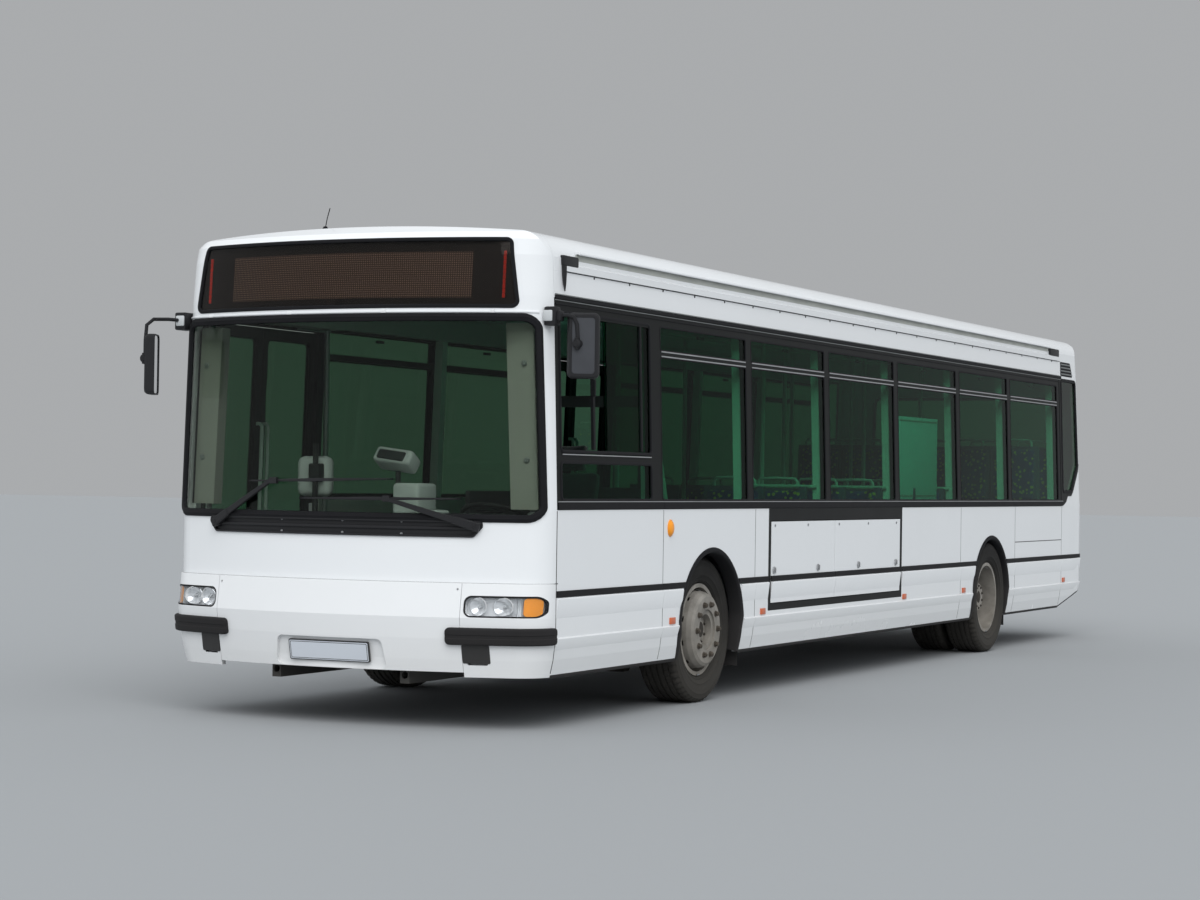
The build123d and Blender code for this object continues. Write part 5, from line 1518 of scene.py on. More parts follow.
def gutter_ends(side, where, surface):
    bm = bmesh.new()
    inner, outer = sorted((side * 1.150, side * 1.219))
    for y0, y1, z0, z1 in ((-5.450, -5.250, 2.643, 2.706), (4.720, 5.020, 2.650, 2.722)):
        add_box(bm, (inner, y0, z0), (outer, y1, z1), 0.010)
    rows = []
    for z, half in ((2.645, 0.016), (2.60, 0.015), (2.54, 0.010), (2.498, 0.003)):
        centre = surface(-5.434, z) + Vector((side * 0.012, 0, 0))
        rows.append([centre + Vector((cos(k * pi / 4) * half, sin(k * pi / 4) * half, 0))
                     for k in range(8)])
    add_grid(bm, rows, close_along=True)
    add_face(bm, rows[-1])
    from_bmesh("gutter_ends_" + where, bm, "black_plastic")


def quarter_trims(side, where, surface):
    """Louvres, the black infill and sweep, and the rubber round the quarter pane."""
    panel("louvre_mouth_" + where, surface, rounded(LOUVRE_MOUTH, 0.014, 0.05, 4), 0.0015, -0.002,
          "black_rubber", 3)
    bm = bmesh.new()
    for k in range(4):
        path = level(5.115, 5.500 - 0.018 * k, 2.499 + 0.030 * k, 6)
        add_profile(bm, surface, path[::-1] if side > 0 else path,
                    [(0.006, -0.003), (0.006, 0.003), (0.001, 0.008), (-0.006, 0.004),
                     (-0.006, -0.003)])
    from_bmesh("louvres_" + where, bm, "grey_trim")
    panel("quarter_infill_" + where, surface,
          rounded(rectangle(5.040, 5.120, 1.300, 2.478), 0.004, 0.15, 2), 0.0030, -0.002,
          "black_frame", 2)
    panel("quarter_sweep_" + where, surface, BAND_SWEEP, 0.0025, -0.002, "black_frame", 3)
    strip("quarter_border_" + where, surface,
          QUARTER_BORDER[::-1] if side > 0 else QUARTER_BORDER,
          [(0.030, -0.004), (0.028, 0.004), (-0.028, 0.004), (-0.030, -0.004)], "black_frame")
    ring_strip("quarter_seal_" + where, surface, rounded(QUARTER_EDGE, 0.035, 0.06, 5),
               seal_section(0.030, 0.008))


for quarter_side in SIDES:
    gutter_ends(*quarter_side)
    quarter_trims(*quarter_side)
aerial = bmesh.new()
foot = Vector((-0.283, -5.60, 2.868))
add_turned(aerial, [(0.0, 0.030), (0.010, 0.030), (0.020, 0.012), (0.026, -0.006)], foot, "Z", 20)
add_tube(aerial, [foot + Vector(p) for p in ((0, 0, 0.02), (0.010, 0.004, 0.08),
                                             (0.024, 0.010, 0.138))], 0.0028, 8)
from_bmesh("antenna", aerial, "black_rubber")
print("aerial foot at", tuple(foot))

# %% [markdown]
# ## Tyres
#
# The source keeps its tyres plain, with forty flats, so here each one is turned again from a real
# profile: bead, dusty side wall with its moulded rings, square shoulder with lugs, and a ribbed
# tread. Lugs are made by drawing single rows of points inwards, because a texture would vanish at
# the outline.

# %% Tyres
FRONT_WHEEL_X, REAR_WHEEL_X, TWIN_PITCH = 1.0465, 1.0985, 0.315
# Radius and distance from the tyre's middle plane
TYRE_PROFILE = [
    (0.2868, 0.0925), (0.2985, 0.0930), (0.3005, 0.0985), (0.3060, 0.1090), (0.3120, 0.1150),
    (0.3170, 0.1180), (0.3190, 0.1215), (0.3215, 0.1215), (0.3240, 0.1205), (0.3300, 0.1240),
    (0.3480, 0.1305), (0.3500, 0.1330), (0.3525, 0.1330), (0.3550, 0.1320), (0.3750, 0.1360),
    (0.3950, 0.1372), (0.4100, 0.1368), (0.4125, 0.1374), (0.4150, 0.1374), (0.4175, 0.1360),
    (0.4300, 0.1340), (0.4400, 0.1310), (0.4420, 0.1330), (0.4460, 0.1320), (0.4520, 0.1275),
    (0.4590, 0.1215), (0.4650, 0.1150), (0.4680, 0.1060),
    (0.4690, 0.0960), (0.4693, 0.0860), (0.4600, 0.0845), (0.4600, 0.0765),
    (0.4695, 0.0750), (0.4698, 0.0480), (0.4590, 0.0465), (0.4590, 0.0375),
    (0.4699, 0.0360), (0.4700, 0.0075), (0.4590, 0.0060),
]
LUGS = 58


def add_tyre(bm, centre):
    """One tyre turned about X, with lugs cut into both shoulders and sipes across the ribs."""
    steps = LUGS * 4
    rows = []
    for r, x in TYRE_PROFILE + [(r, -x) for r, x in reversed(TYRE_PROFILE)]:
        rows.append([])
        for k in range(steps):
            radius = r
            place = k % 4
            if abs(x) > 0.085 and r > 0.444 and place == 0:
                radius = r - 0.010 * min(1.0, (r - 0.444) / 0.012)
            elif 0.036 <= abs(x) <= 0.076 and r > 0.465 and place == 2:
                radius = r - 0.0035
            angle = 2 * pi * (k + (0.30 if place == 1 else -0.30 if place == 3 else 0)) / steps
            rows[-1].append(centre + Vector((x, radius * sin(angle), -radius * cos(angle))))
    add_grid(bm, rows, close_along=True)


def tyres(side, where, end, middles, y):
    """The tyre or twin tyres of one wheel, in place of the plain ones."""
    bm = bmesh.new()
    for middle in middles:
        add_tyre(bm, Vector((side * middle, y, HUB_Z)))
    made = from_bmesh("tyre_%s_%s_full" % (end, where), bm, "tyre_rubber",
                      "wheel_%s_%s" % (end, where))
    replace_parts(made, "tyre_%s_%s" % (end, where))


for side, where, _ in SIDES:
    tyres(side, where, "front", [FRONT_WHEEL_X], FRONT_AXLE)
    tyres(side, where, "rear", [REAR_WHEEL_X, REAR_WHEEL_X - TWIN_PITCH], REAR_AXLE)
print("tyre radius", max(r for r, _ in TYRE_PROFILE), "lugs", LUGS)

# %% [markdown]
# ## Nuts, hubs and valves
#
# The rims are the construction model's own. They get ten wheel nuts with their stud ends, the
# smaller bolts and the cap of the hub, a valve and a balance weight. Rear rims are dished inwards,
# so their nuts lie deep and the hub stands out.

# %% Wheel fittings
# Nuts, then hub bolts, as (circle, count, face, head, high, stud, start), and the cap of the hub
FRONT_FITTINGS = ((0.1675, 10, 0.1695, 0.0165, 0.022, 0.009, pi / 10),
                  (0.085, 8, 0.1115, 0.008, 0.008, 0.004, pi / 8),
                  ((0.0, 0.128), (0.030, 0.1275), (0.044, 0.125), (0.052, 0.1215)))
REAR_FITTINGS = ((0.1575, 10, -0.1480, 0.0165, 0.022, 0.009, pi / 10),
                 (0.095, 10, 0.0395, 0.009, 0.009, 0.004, 0.0),
                 ((0.0, 0.047), (0.038, 0.046), (0.052, 0.0395)))


def add_bolts(bm, centre, side, circle, count, face, head, high, stud, start):
    """Hexagonal nuts with washers and stud ends on a circle. The face is measured outwards."""
    for k in range(count):
        angle = start + 2 * pi * k / count
        at = centre + Vector((side * face, circle * sin(angle), circle * cos(angle)))
        for profile, steps, turn in (
                ([(head * 1.22, 0.0), (head * 1.22, 0.004), (head, 0.0045)], 16, 0.0),
                ([(head, 0.0045), (head, high - 0.003), (head - 0.003, high), (stud, high)], 6,
                 angle),
                ([(stud, high - 0.002), (stud, high + 0.004), (stud * 0.7, high + 0.005),
                  (0.0, high + 0.005)], 10, 0.0)):
            add_turned(bm, [(r, side * out) for r, out in profile], at, "X", steps, turn)


def wheel_fittings(side, where, end, centre, fittings):
    """Nuts, hub bolts and cap, valve and balance weight of one wheel."""
    body = "wheel_%s_%s" % (end, where)
    nuts, hub, valve = blank(3)
    nut_rows, bolt_rows, cap = fittings
    add_bolts(nuts, centre, side, *nut_rows)
    add_bolts(hub, centre, side, *bolt_rows)
    add_turned(hub, [(r, side * out) for r, out in cap], centre, "X", 40)
    add_tube(valve, [centre + Vector((side * x, 0, z)) for x, z in
                     ((0.060, 0.262), (0.094, 0.256), (0.118, 0.250))], 0.0042, 8)
    add_box(valve, centre + Vector((side * 0.1035 - 0.004, -0.022, -0.296)),
            centre + Vector((side * 0.1035 + 0.006 * side + 0.004, 0.022, -0.288)), 0.002)
    from_bmesh("nuts_%s_%s" % (end, where), nuts, "nut_steel", body)
    from_bmesh("hub_bolts_%s_%s" % (end, where), hub, "cast_steel", body)
    from_bmesh("valve_%s_%s" % (end, where), valve, "gear_steel", body)


for side, where, _ in SIDES:
    wheel_fittings(side, where, "front", Vector((side * FRONT_WHEEL_X, FRONT_AXLE, HUB_Z)),
                   FRONT_FITTINGS)
    wheel_fittings(side, where, "rear", Vector((side * REAR_WHEEL_X, REAR_AXLE, HUB_Z)),
                   REAR_FITTINGS)
print("nuts a wheel", FRONT_FITTINGS[0][1])

# %% [markdown]
# ## Mirrors
#
# A bus mirror is a shallow plastic shell with a rounded rim, held by a ball clamp on a bent tube.
# The shell is a stack of rounded rectangles, each a little smaller than the last, which keeps its
# corners even. A scaled cube with a bevel would round its edges more on the long sides than on the
# short ones.

# %% Mirrors
# Rings of a head: how much smaller than its size, corner radius, distance from back or face
SHELL_RINGS = ((0.050, 0.020, 0.0), (0.026, 0.026, 0.003), (0.010, 0.030, 0.012))
BACK_RINGS = ((0.056, 0.018, 0.001), (0.052, 0.020, -0.003), (0.024, 0.028, -0.001),
              (0.006, 0.033, 0.010), (-0.001, 0.034, 0.022))
FACE_RINGS = ((-0.001, 0.034, -0.016), (0.0, 0.033, -0.002), (0.004, 0.031, 0.0),
              (0.014, 0.026, 0.0), (0.018, 0.024, -0.006))
MIRRORS = {
    "left": ((1.385, -5.520, 2.180), radians(26), (0.184, 0.062, 0.372),
             [(1.268, -5.604, 2.345), (1.318, -5.592, 2.352), (1.352, -5.580, 2.340),
              (1.368, -5.572, 2.300), (1.371, -5.568, 2.240), (1.371, -5.568, 2.190)],
             ((1.196, -5.650, 2.290), (1.268, -5.572, 2.398))),
    "right": ((-1.290, -5.905, 2.075), radians(-64), (0.180, 0.060, 0.360),
              [(-1.225, -5.660, 2.350), (-1.262, -5.780, 2.352), (-1.296, -5.885, 2.346),
               (-1.314, -5.928, 2.310), (-1.318, -5.934, 2.220), (-1.318, -5.934, 2.110)],
              ((-1.268, -5.712, 2.292), (-1.190, -5.590, 2.398))),
}


def mirror_head(where, centre, turn, size):
    """Shell, rim and glass of one head. The glass faces the turned Y direction."""
    matrix = Matrix.Translation(centre) @ Matrix.Rotation(turn, 4, "Z")
    width, depth, height = size
    shell, rim, face = blank(3)

    def rings(table, start):
        rows = []
        for less, radius, y in table:
            w, h = (width - less) / 2, (height - less) / 2
            rows.append([matrix @ Vector((a, start + y, b))
                         for a, b in rounded(rectangle(-w, w, -h, h), radius, 0.5, 6)])
        return rows

    sides = ((0.002, 0.032, 0.0), (0.002, 0.032, depth / 2 - 0.008))
    rows = rings(SHELL_RINGS, -depth / 2) + rings(sides, 0.0)
    add_grid(shell, rows, close_along=True)
    add_face(shell, rows[0])
    front = rings(FACE_RINGS, depth / 2)
    add_grid(rim, rings(BACK_RINGS, -depth / 2) + front[:1], close_along=True)
    add_grid(rim, front, close_along=True)
    add_face(face, front[-1])
    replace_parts(from_bmesh("mirror_shell_" + where, shell, "dark_grey"), "mirror_" + where)
    from_bmesh("mirror_rim_" + where, rim, "black_plastic")
    from_bmesh("mirror_face_" + where, face, "mirror_glass")


def mirror_arm(side, where, tube, low, high):
    """Bent tube with a ball clamp at its end, and its bracket on the corner post."""
    arm, bracket, clip = blank(3)
    add_tube(arm, tube, 0.011, 16)
    clamp, root, low, high = (Vector(p) for p in (tube[-1], tube[0], low, high))
    add_turned(arm, [(0.0, -0.030), (0.016, -0.028), (0.025, -0.018), (0.027, 0.0),
                     (0.024, 0.020), (0.014, 0.030), (0.010, 0.036)], clamp, "Y", 24)
    add_box(arm, clamp - Vector((0.012, 0.020, 0.034)), clamp + Vector((0.012, 0.012, 0.034)),
            0.006)
    add_box(bracket, low, high, 0.010)
    add_block(bracket, root, (0.026, 0.026, 0.030), 0.010)
    middle = (low + high) / 2
    add_box(clip, (middle.x - side * 0.006 - 0.034, low.y - 0.006, middle.z - 0.030),
            (middle.x - side * 0.006 + 0.026, low.y + 0.030, middle.z + 0.034), 0.008)
    from_bmesh("mirror_arm_" + where, arm, "black_plastic")
    from_bmesh("mirror_bracket_" + where, bracket, "black_plastic")
    from_bmesh("mirror_clip_" + where, clip, "pale_plastic")


for side, where, _ in SIDES:
    place, turn, size, tube, post = MIRRORS[where]
    mirror_head(where, place, turn, size)
    mirror_arm(side, where, tube, *post)
print("mirrors", sorted(MIRRORS))

# %% [markdown]
# ## Wipers
#
# A wiper arm is a pressed channel with a big hinge head. Its blade hangs below it in a yoke with
# two claws. Everything follows the curve of the windscreen, so the parts are bars laid along it at
# different heights, from the rubber on the glass to the arm above it.

# %% Wipers
# Pivot, end of the arm, and both ends of the blade, as places across and up
WIPERS = [((-0.846, 1.150), (-0.412, 1.394), (-0.600, 1.391), (0.396, 1.413)),
          ((0.872, 1.153), (0.359, 1.301), (-0.216, 1.296), (0.790, 1.306))]
HUB_PROFILE = [(0.031, -0.004), (0.031, 0.028), (0.027, 0.035), (0.012, 0.038), (0.010, 0.041),
               (0.002, 0.042)]


def between(a, b, share):
    return (a[0] + (b[0] - a[0]) * share, a[1] + (b[1] - a[1]) * share)


def add_bar(bm, start, end, widths, low, high, steps=14, edge=0.004):
    """Tapered bar with rounded top edges on the front, between two heights over the skin."""
    frames = skin_frames(on_front, [between(start, end, k / steps) for k in range(steps + 1)])
    narrow = 1 - edge * 2 / widths[0]
    add_grid(bm, [[point + aside * u * (widths[0] + (widths[1] - widths[0]) * k / steps) / 2
                   + normal * v for k, (point, aside, normal) in enumerate(frames)]
                  for u, v in ((1, low), (1, high - edge), (narrow, high), (-narrow, high),
                               (-1, high - edge), (-1, low))], close_rows=True, caps=True)


def wipers():
    arms, blades, rubbers, heads = blank(4)
    for pivot, tip, start, end in WIPERS:
        add_bar(arms, between(pivot, tip, 0.16), tip, (0.040, 0.022), 0.018, 0.036)
        add_bar(heads, between(pivot, tip, -0.05), between(pivot, tip, 0.24), (0.056, 0.046),
                0.010, 0.038, 6, 0.008)
        add_turned(heads, HUB_PROFILE, on_front(*pivot), normal_at(on_front, *pivot), 24)
        add_bar(rubbers, start, end, (0.009, 0.009), 0.003, 0.012, 30, 0.002)
        add_bar(blades, between(start, end, 0.02), between(start, end, 0.98), (0.005, 0.005),
                0.011, 0.0135, 30, 0.001)
        claws = [between(start, end, s) for s in (0.17, 0.5, 0.83)]
        add_bar(blades, claws[0], claws[1], (0.012, 0.021), 0.015, 0.025, 10, 0.003)
        add_bar(blades, claws[1], claws[2], (0.021, 0.012), 0.015, 0.025, 10, 0.003)
        for s in (0.17, 0.83):
            add_bar(blades, between(start, end, s - 0.13), between(start, end, s + 0.13),
                    (0.010, 0.010), 0.012, 0.0175, 10, 0.002)
        add_bar(blades, between(tip, start, 0.03), between(tip, end, 0.06), (0.036, 0.036),
                0.014, 0.037, 4, 0.004)
    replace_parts(from_bmesh("wiper_arms", arms, "black_plastic"), "wipers")
    from_bmesh("wiper_heads", heads, "black_plastic")
    from_bmesh("wiper_blades", blades, "black_plastic")
    from_bmesh("wiper_rubbers", rubbers, "black_rubber")


wipers()
print("wipers", len(WIPERS))

# %% [markdown]
# ## Doors
#
# The construction keeps a door leaf and its pane together, so they would share one finish. Here
# each leaf is built again in the same place as a frame, a pane, a rubber edge and a grab bar, and
# rides on the same body, so it turns and glides with the door gear. The sills and headers stay
# with the bus.

# %% Doors
LEAF_W, LEAF_GAP = 0.613, 0.014
LEAF_Z = (0.392, 2.356)
LEAF_PANE_Z = (0.560, 2.286)


def matched_loop(y0, y1, z0, z1, radius, per_edge=10, arc=4):
    """Rounded rectangle whose point count doesn't depend on its size, as (y, z) pairs."""
    corners = [(y0 + radius, z0 + radius, pi), (y1 - radius, z0 + radius, 1.5 * pi),
               (y1 - radius, z1 - radius, 0.0), (y0 + radius, z1 - radius, 0.5 * pi)]
    arcs = [[(y + radius * cos(start + pi / 2 * k / arc),
              z + radius * sin(start + pi / 2 * k / arc))
             for k in range(arc + 1)] for y, z, start in corners]
    loop = []
    for i, points in enumerate(arcs):
        loop += points
        a, b = points[-1], arcs[(i + 1) % 4][0]
        loop += [(a[0] + (b[0] - a[0]) * k / per_edge, a[1] + (b[1] - a[1]) * k / per_edge)
                 for k in range(1, per_edge)]
    return loop


def skin_rows(surface, rings):
    """Rows of points, one for each (loop, depth below the skin)."""
    return [[surface(a, b) - normal_at(surface, a, b) * depth for a, b in loop]
            for loop, depth in rings]


print("leaf", LEAF_W, "m wide, from", LEAF_Z[0], "to", LEAF_Z[1])

# %% [markdown]
# ## One door leaf
#
# A leaf is a closed frame between two loops, a pane with a little thickness, a rubber round it and
# another on the closing edge, and a grab bar on two bends. The frame takes the place of the
# construction's leaf.

# %% Door leaf
def door_leaf(name, y0, y1, closing_high):
    """Frame, pane, rubber and grab bar of one leaf, closing at its high or low Y end."""
    z0, z1 = LEAF_Z

    def round_pane(inset, grow, radius):
        return matched_loop(y0 + inset, y1 - inset, LEAF_PANE_Z[0] - grow,
                            LEAF_PANE_Z[1] + grow, radius)
    outer = matched_loop(y0 + 0.002, y1 - 0.002, z0, z1, 0.008)
    outer_face = matched_loop(y0 + 0.005, y1 - 0.005, z0 + 0.003, z1 - 0.003, 0.006)
    hole, hole_face = round_pane(0.058, 0.0, 0.040), round_pane(0.054, 0.004, 0.044)
    bm = bmesh.new()
    add_grid(bm, skin_rows(on_right, [(outer, 0.031), (outer, 0.003), (outer_face, 0.0),
                                      (hole_face, 0.0), (hole, 0.003), (hole, 0.028),
                                      (hole_face, 0.031)]), close_rows=True, close_along=True)
    frame_piece = from_bmesh(name + "_frame", bm, "black_frame", name)
    bm = bmesh.new()
    pane = round_pane(0.056, 0.002, 0.042)
    add_grid(bm, skin_rows(on_right, [(pane, 0.008), (pane, 0.014)]), close_along=True)
    for depth in (0.008, 0.014):
        rows = skin_rows(on_right, [(pane, depth)])
        count = len(pane)
        # The pane is filled in strips across, so that it follows the lean of the side
        left = [rows[0][i] for i in range(count) if pane[i][0] < (y0 + y1) / 2]
        right = [rows[0][i] for i in range(count) if pane[i][0] >= (y0 + y1) / 2]
        left.sort(key=lambda p: (round(p.z, 5), p.y))
        right.sort(key=lambda p: (round(p.z, 5), -p.y))
        pairs = min(len(left), len(right))
        add_grid(bm, [left[:pairs], right[:pairs]])
    # The door panes, on the far side, take the darker glass as painted shade.
    from_bmesh(name + "_pane", bm, "far_glass_shaded", name)
    bm = bmesh.new()
    seal, inner = round_pane(0.0545, 0.0035, 0.0435), round_pane(0.066, -0.008, 0.034)
    add_grid(bm, skin_rows(on_right, [(seal, 0.006), (seal, -0.002), (inner, -0.001),
                                      (inner, 0.0075)]), close_rows=True, close_along=True)
    edge = y1 if closing_high else y0
    lead = 1 if closing_high else -1
    path = [(edge + 0.0005 * lead, z0 + 0.01 + (z1 - z0 - 0.02) * k / 16) for k in range(17)]
    section = [(0.0018 * lead, -0.028), (0.0026 * lead, -0.016), (0.0018 * lead, -0.004),
               (-0.0030 * lead, -0.004), (-0.0030 * lead, -0.028)]
    add_profile(bm, on_right, path, section if closing_high else section[::-1])
    from_bmesh(name + "_seals", bm, "black_rubber", name)
    bm = bmesh.new()
    y = edge - 0.030 * lead
    low, high = (on_right(y, z) for z in (0.90, 1.75))
    out = Vector((0.070, 0, 0))
    start, end = low + Vector((0.031, 0, 0)), high + Vector((0.031, 0, 0))
    add_tube(bm, [start, low + out * 0.8, low + out + Vector((0, 0, 0.02)),
                  high + out - Vector((0, 0, 0.02)), high + out * 0.8, end], 0.012, 12)
    from_bmesh(name + "_bar", bm, "handrail", name)
    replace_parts(frame_piece, name)


print("pane from", LEAF_PANE_Z[0], "to", LEAF_PANE_Z[1])

# %% [markdown]
# ## Both doorways
#
# Each doorway has two leaves that meet in its middle, a bright sill below and a brush above. The
# sill and the brush stay with the bus.

# %% Doorways
def doorways():
    for place, (start, end) in zip(("front", "middle"), DOORWAY):
        door_leaf("door_leaf_%s_a" % place, start + LEAF_GAP, start + LEAF_GAP + LEAF_W, True)
        door_leaf("door_leaf_%s_b" % place, end - LEAF_GAP - LEAF_W, end - LEAF_GAP, False)
        sill, brush = blank(2)
        for depth0, depth1, z0, z1, bm in ((0.034, 0.003, 0.3705, 0.3870, sill),
                                           (0.026, 0.004, 2.3600, 2.3775, brush)):
            x_low = -skin_row(z0)[0]
            add_box(bm, (x_low + depth1, start + 0.003, z0), (x_low + depth0, end - 0.003, z1),
                    0.003)
        from_bmesh("door_sill_" + place, sill, "trim_metal")
        from_bmesh("door_header_seal_" + place, brush, "black_rubber")


doorways()
print("leaves", 2 * len(DOORWAY), "each", LEAF_W, "m wide")

# %% [markdown]
# ## Seats
#
# Every passenger seat is a moulded shell with two stuffed pads. A pad is a closed, crowned form:
# it is thickest in its middle, pulls in between its corners, and a sewn line runs round it. The
# same grid function makes all of them. Cloth simulation would give the same rounded pad after
# minutes of work.

# %% Seats
LOW_FLOOR, HIGH_FLOOR = 0.370, 0.770
SEAT_ROWS = [
    (0.96, -2.3, LOW_FLOOR, 1), (0.96, -1.5, LOW_FLOOR, 1), (0.96, -0.7, LOW_FLOOR, 1),
    (0.96, 0.1, LOW_FLOOR, 1), (0.96, 0.9, LOW_FLOOR, 1), (0.96, 1.65, LOW_FLOOR, 1),
    (0.5, 0.8, LOW_FLOOR, 1), (0.5, 1.55, LOW_FLOOR, 1), (-0.96, -1.4, LOW_FLOOR, 1),
    (-0.96, 1.65, LOW_FLOOR, 1), (-0.96, 0.7, LOW_FLOOR, -1), (0.96, 4.45, HIGH_FLOOR, 1),
    (0.5, 4.45, HIGH_FLOOR, 1), (-0.96, 4.45, HIGH_FLOOR, 1), (-0.5, 4.45, HIGH_FLOOR, 1),
    (0.96, 5.04, HIGH_FLOOR, 1), (0.5, 5.04, HIGH_FLOOR, 1), (0.0, 5.04, HIGH_FLOOR, 1),
    (-0.5, 5.04, HIGH_FLOOR, 1), (-0.96, 5.04, HIGH_FLOOR, 1),
]


def add_pad(bm, matrix, width, length, thick, cells=12, pull=0.006):
    """Crowned pad on the XY plane of a matrix, its flat side at height 0."""
    top = []
    for i in range(cells + 1):
        u = -cos(pi * i / cells)
        top.append([])
        for j in range(cells + 1):
            v = -cos(pi * j / cells)
            edge = max(abs(u), abs(v))
            # Sides pull in between the corners, and the corners are round
            x = u * (width / 2 - pull * (1 - v * v)) * (1 - 0.05 * u * u * v ** 8)
            y = v * (length / 2 - pull * (1 - u * u)) * (1 - 0.05 * v * v * u ** 8)
            rise = sqrt(max(0.0, 1 - edge ** 6))
            crown = 0.72 + 0.28 * (1 - u * u) * (1 - v * v)
            seam = 0.004 * max(0.0, 1 - abs(edge - 0.80) / 0.06)
            top[-1].append((x, y, thick * (0.35 + 0.65 * rise * crown) - seam))
    rows = [[matrix @ Vector(p) for p in row] for row in top]
    flat = [[matrix @ Vector((p[0] * 0.985, p[1] * 0.985, 0.0)) for p in row] for row in top]
    add_grid(bm, rows)
    add_grid(bm, flat)

    def border(grid):
        return (grid[0] + [row[-1] for row in grid[1:]] + grid[-1][-2::-1]
                + [row[0] for row in grid[-2:0:-1]])
    add_grid(bm, [border(rows), border(flat)], close_along=True)


def seat_pads():
    cushions, backs, grips = blank(3)
    for x, y, floor_z, facing in SEAT_ROWS:
        turn = Matrix.Rotation(0 if facing > 0 else pi, 4, "Z")
        base = Matrix.Translation((x, y, floor_z)) @ turn
        add_pad(cushions, base @ Matrix.Translation((0, -0.205, 0.4758))
                @ Matrix.Rotation(radians(1.5), 4, "X"), 0.410, 0.350, 0.050)
        lean = atan2(0.04, 0.55)
        add_pad(backs, base @ Matrix.Translation((0, 0.0002, 0.765))
                @ Matrix.Rotation(radians(90) - lean, 4, "X"), 0.390, 0.480, 0.040)
        for s in (1, -1):
            add_tube(grips, [base @ Vector(p) for p in
                             ((s * 0.150, 0.040, 1.028), (s * 0.150, 0.040, 1.065),
                              (s * 0.135, 0.040, 1.085), (0.0, 0.040, 1.090))], 0.011, 10)
    from_bmesh("seat_cushions", cushions, "seat_cloth")
    from_bmesh("seat_backs", backs, "seat_cloth")
    from_bmesh("seat_grips", grips, "handrail")


seat_pads()
print("seats", len(SEAT_ROWS))

# %% [markdown]
# ## The cabin: corner panels
#
# What shows through the glass gives a bus its depth. Pale panels close both corners behind the
# windscreen, each held by two clips. A flat sheet would miss the curve of the nose, so the panel
# is a grid laid at a depth behind the skin. Behind tinted glass the cabin needs no more than clean
# edges and its own colours.

# %% Corner panels
def corner_panels():
    """Pale panels on both corner posts behind the windscreen, each with two clips."""
    for side, where, _ in SIDES:
        bm, clips = blank(2)
        columns = [1.166 - 0.020 * k for k in range(9)]
        heights = [1.250 + 0.132 * k for k in range(9)]
        rows = []
        for x in columns:
            rows.append([behind(side * (x - 0.044 * (z - 1.25)), z, 0.085
                                      + 0.25 * (1.166 - x)) for z in heights])
        add_grid(bm, rows)
        inner = [[p + Vector((0, 0.012, 0)) for p in row] for row in rows]
        add_grid(bm, inner)
        for a, b in ((rows[0], inner[0]), (rows[-1], inner[-1]),
                     ([r[0] for r in rows], [r[0] for r in inner]),
                     ([r[-1] for r in rows], [r[-1] for r in inner])):
            add_grid(bm, [a, b])
        # Return that turns back towards the side window
        edge = [p.copy() for p in rows[-1]]
        add_grid(bm, [edge, [p + Vector((side * 0.01, 0.10, 0)) for p in edge]])
        for z in (1.53, 2.08):
            at = behind(side * (1.110 - 0.044 * (z - 1.25)), z, 0.085 + 0.25 * 0.056)
            add_turned(clips, [(0.0, -0.010), (0.014, -0.010), (0.017, -0.006), (0.017, 0.002)],
                       at, "Y", 16)
            add_box(clips, at + Vector((-0.004, -0.014, -0.010)),
                    at + Vector((0.004, -0.009, 0.010)), 0.001)
        from_bmesh("corner_panel_" + where, bm, "corner_lining")
        from_bmesh("corner_clips_" + where, clips, "dash_plastic")


corner_panels()
print("corner panels", len(SIDES))

# %% [markdown]
# ## The dash
#
# The driver's dash is a moulded shelf under the windscreen with a hood over the instruments,
# switch pods at each side of the wheel, and a ticket desk beside it. The shelf follows the
# windscreen, so it is swept along it, and the boxes are plain bevelled solids.

# %% Dash
def slab(bm, low, high, bevel=0.010):
    add_box(bm, low, high, bevel, 3)


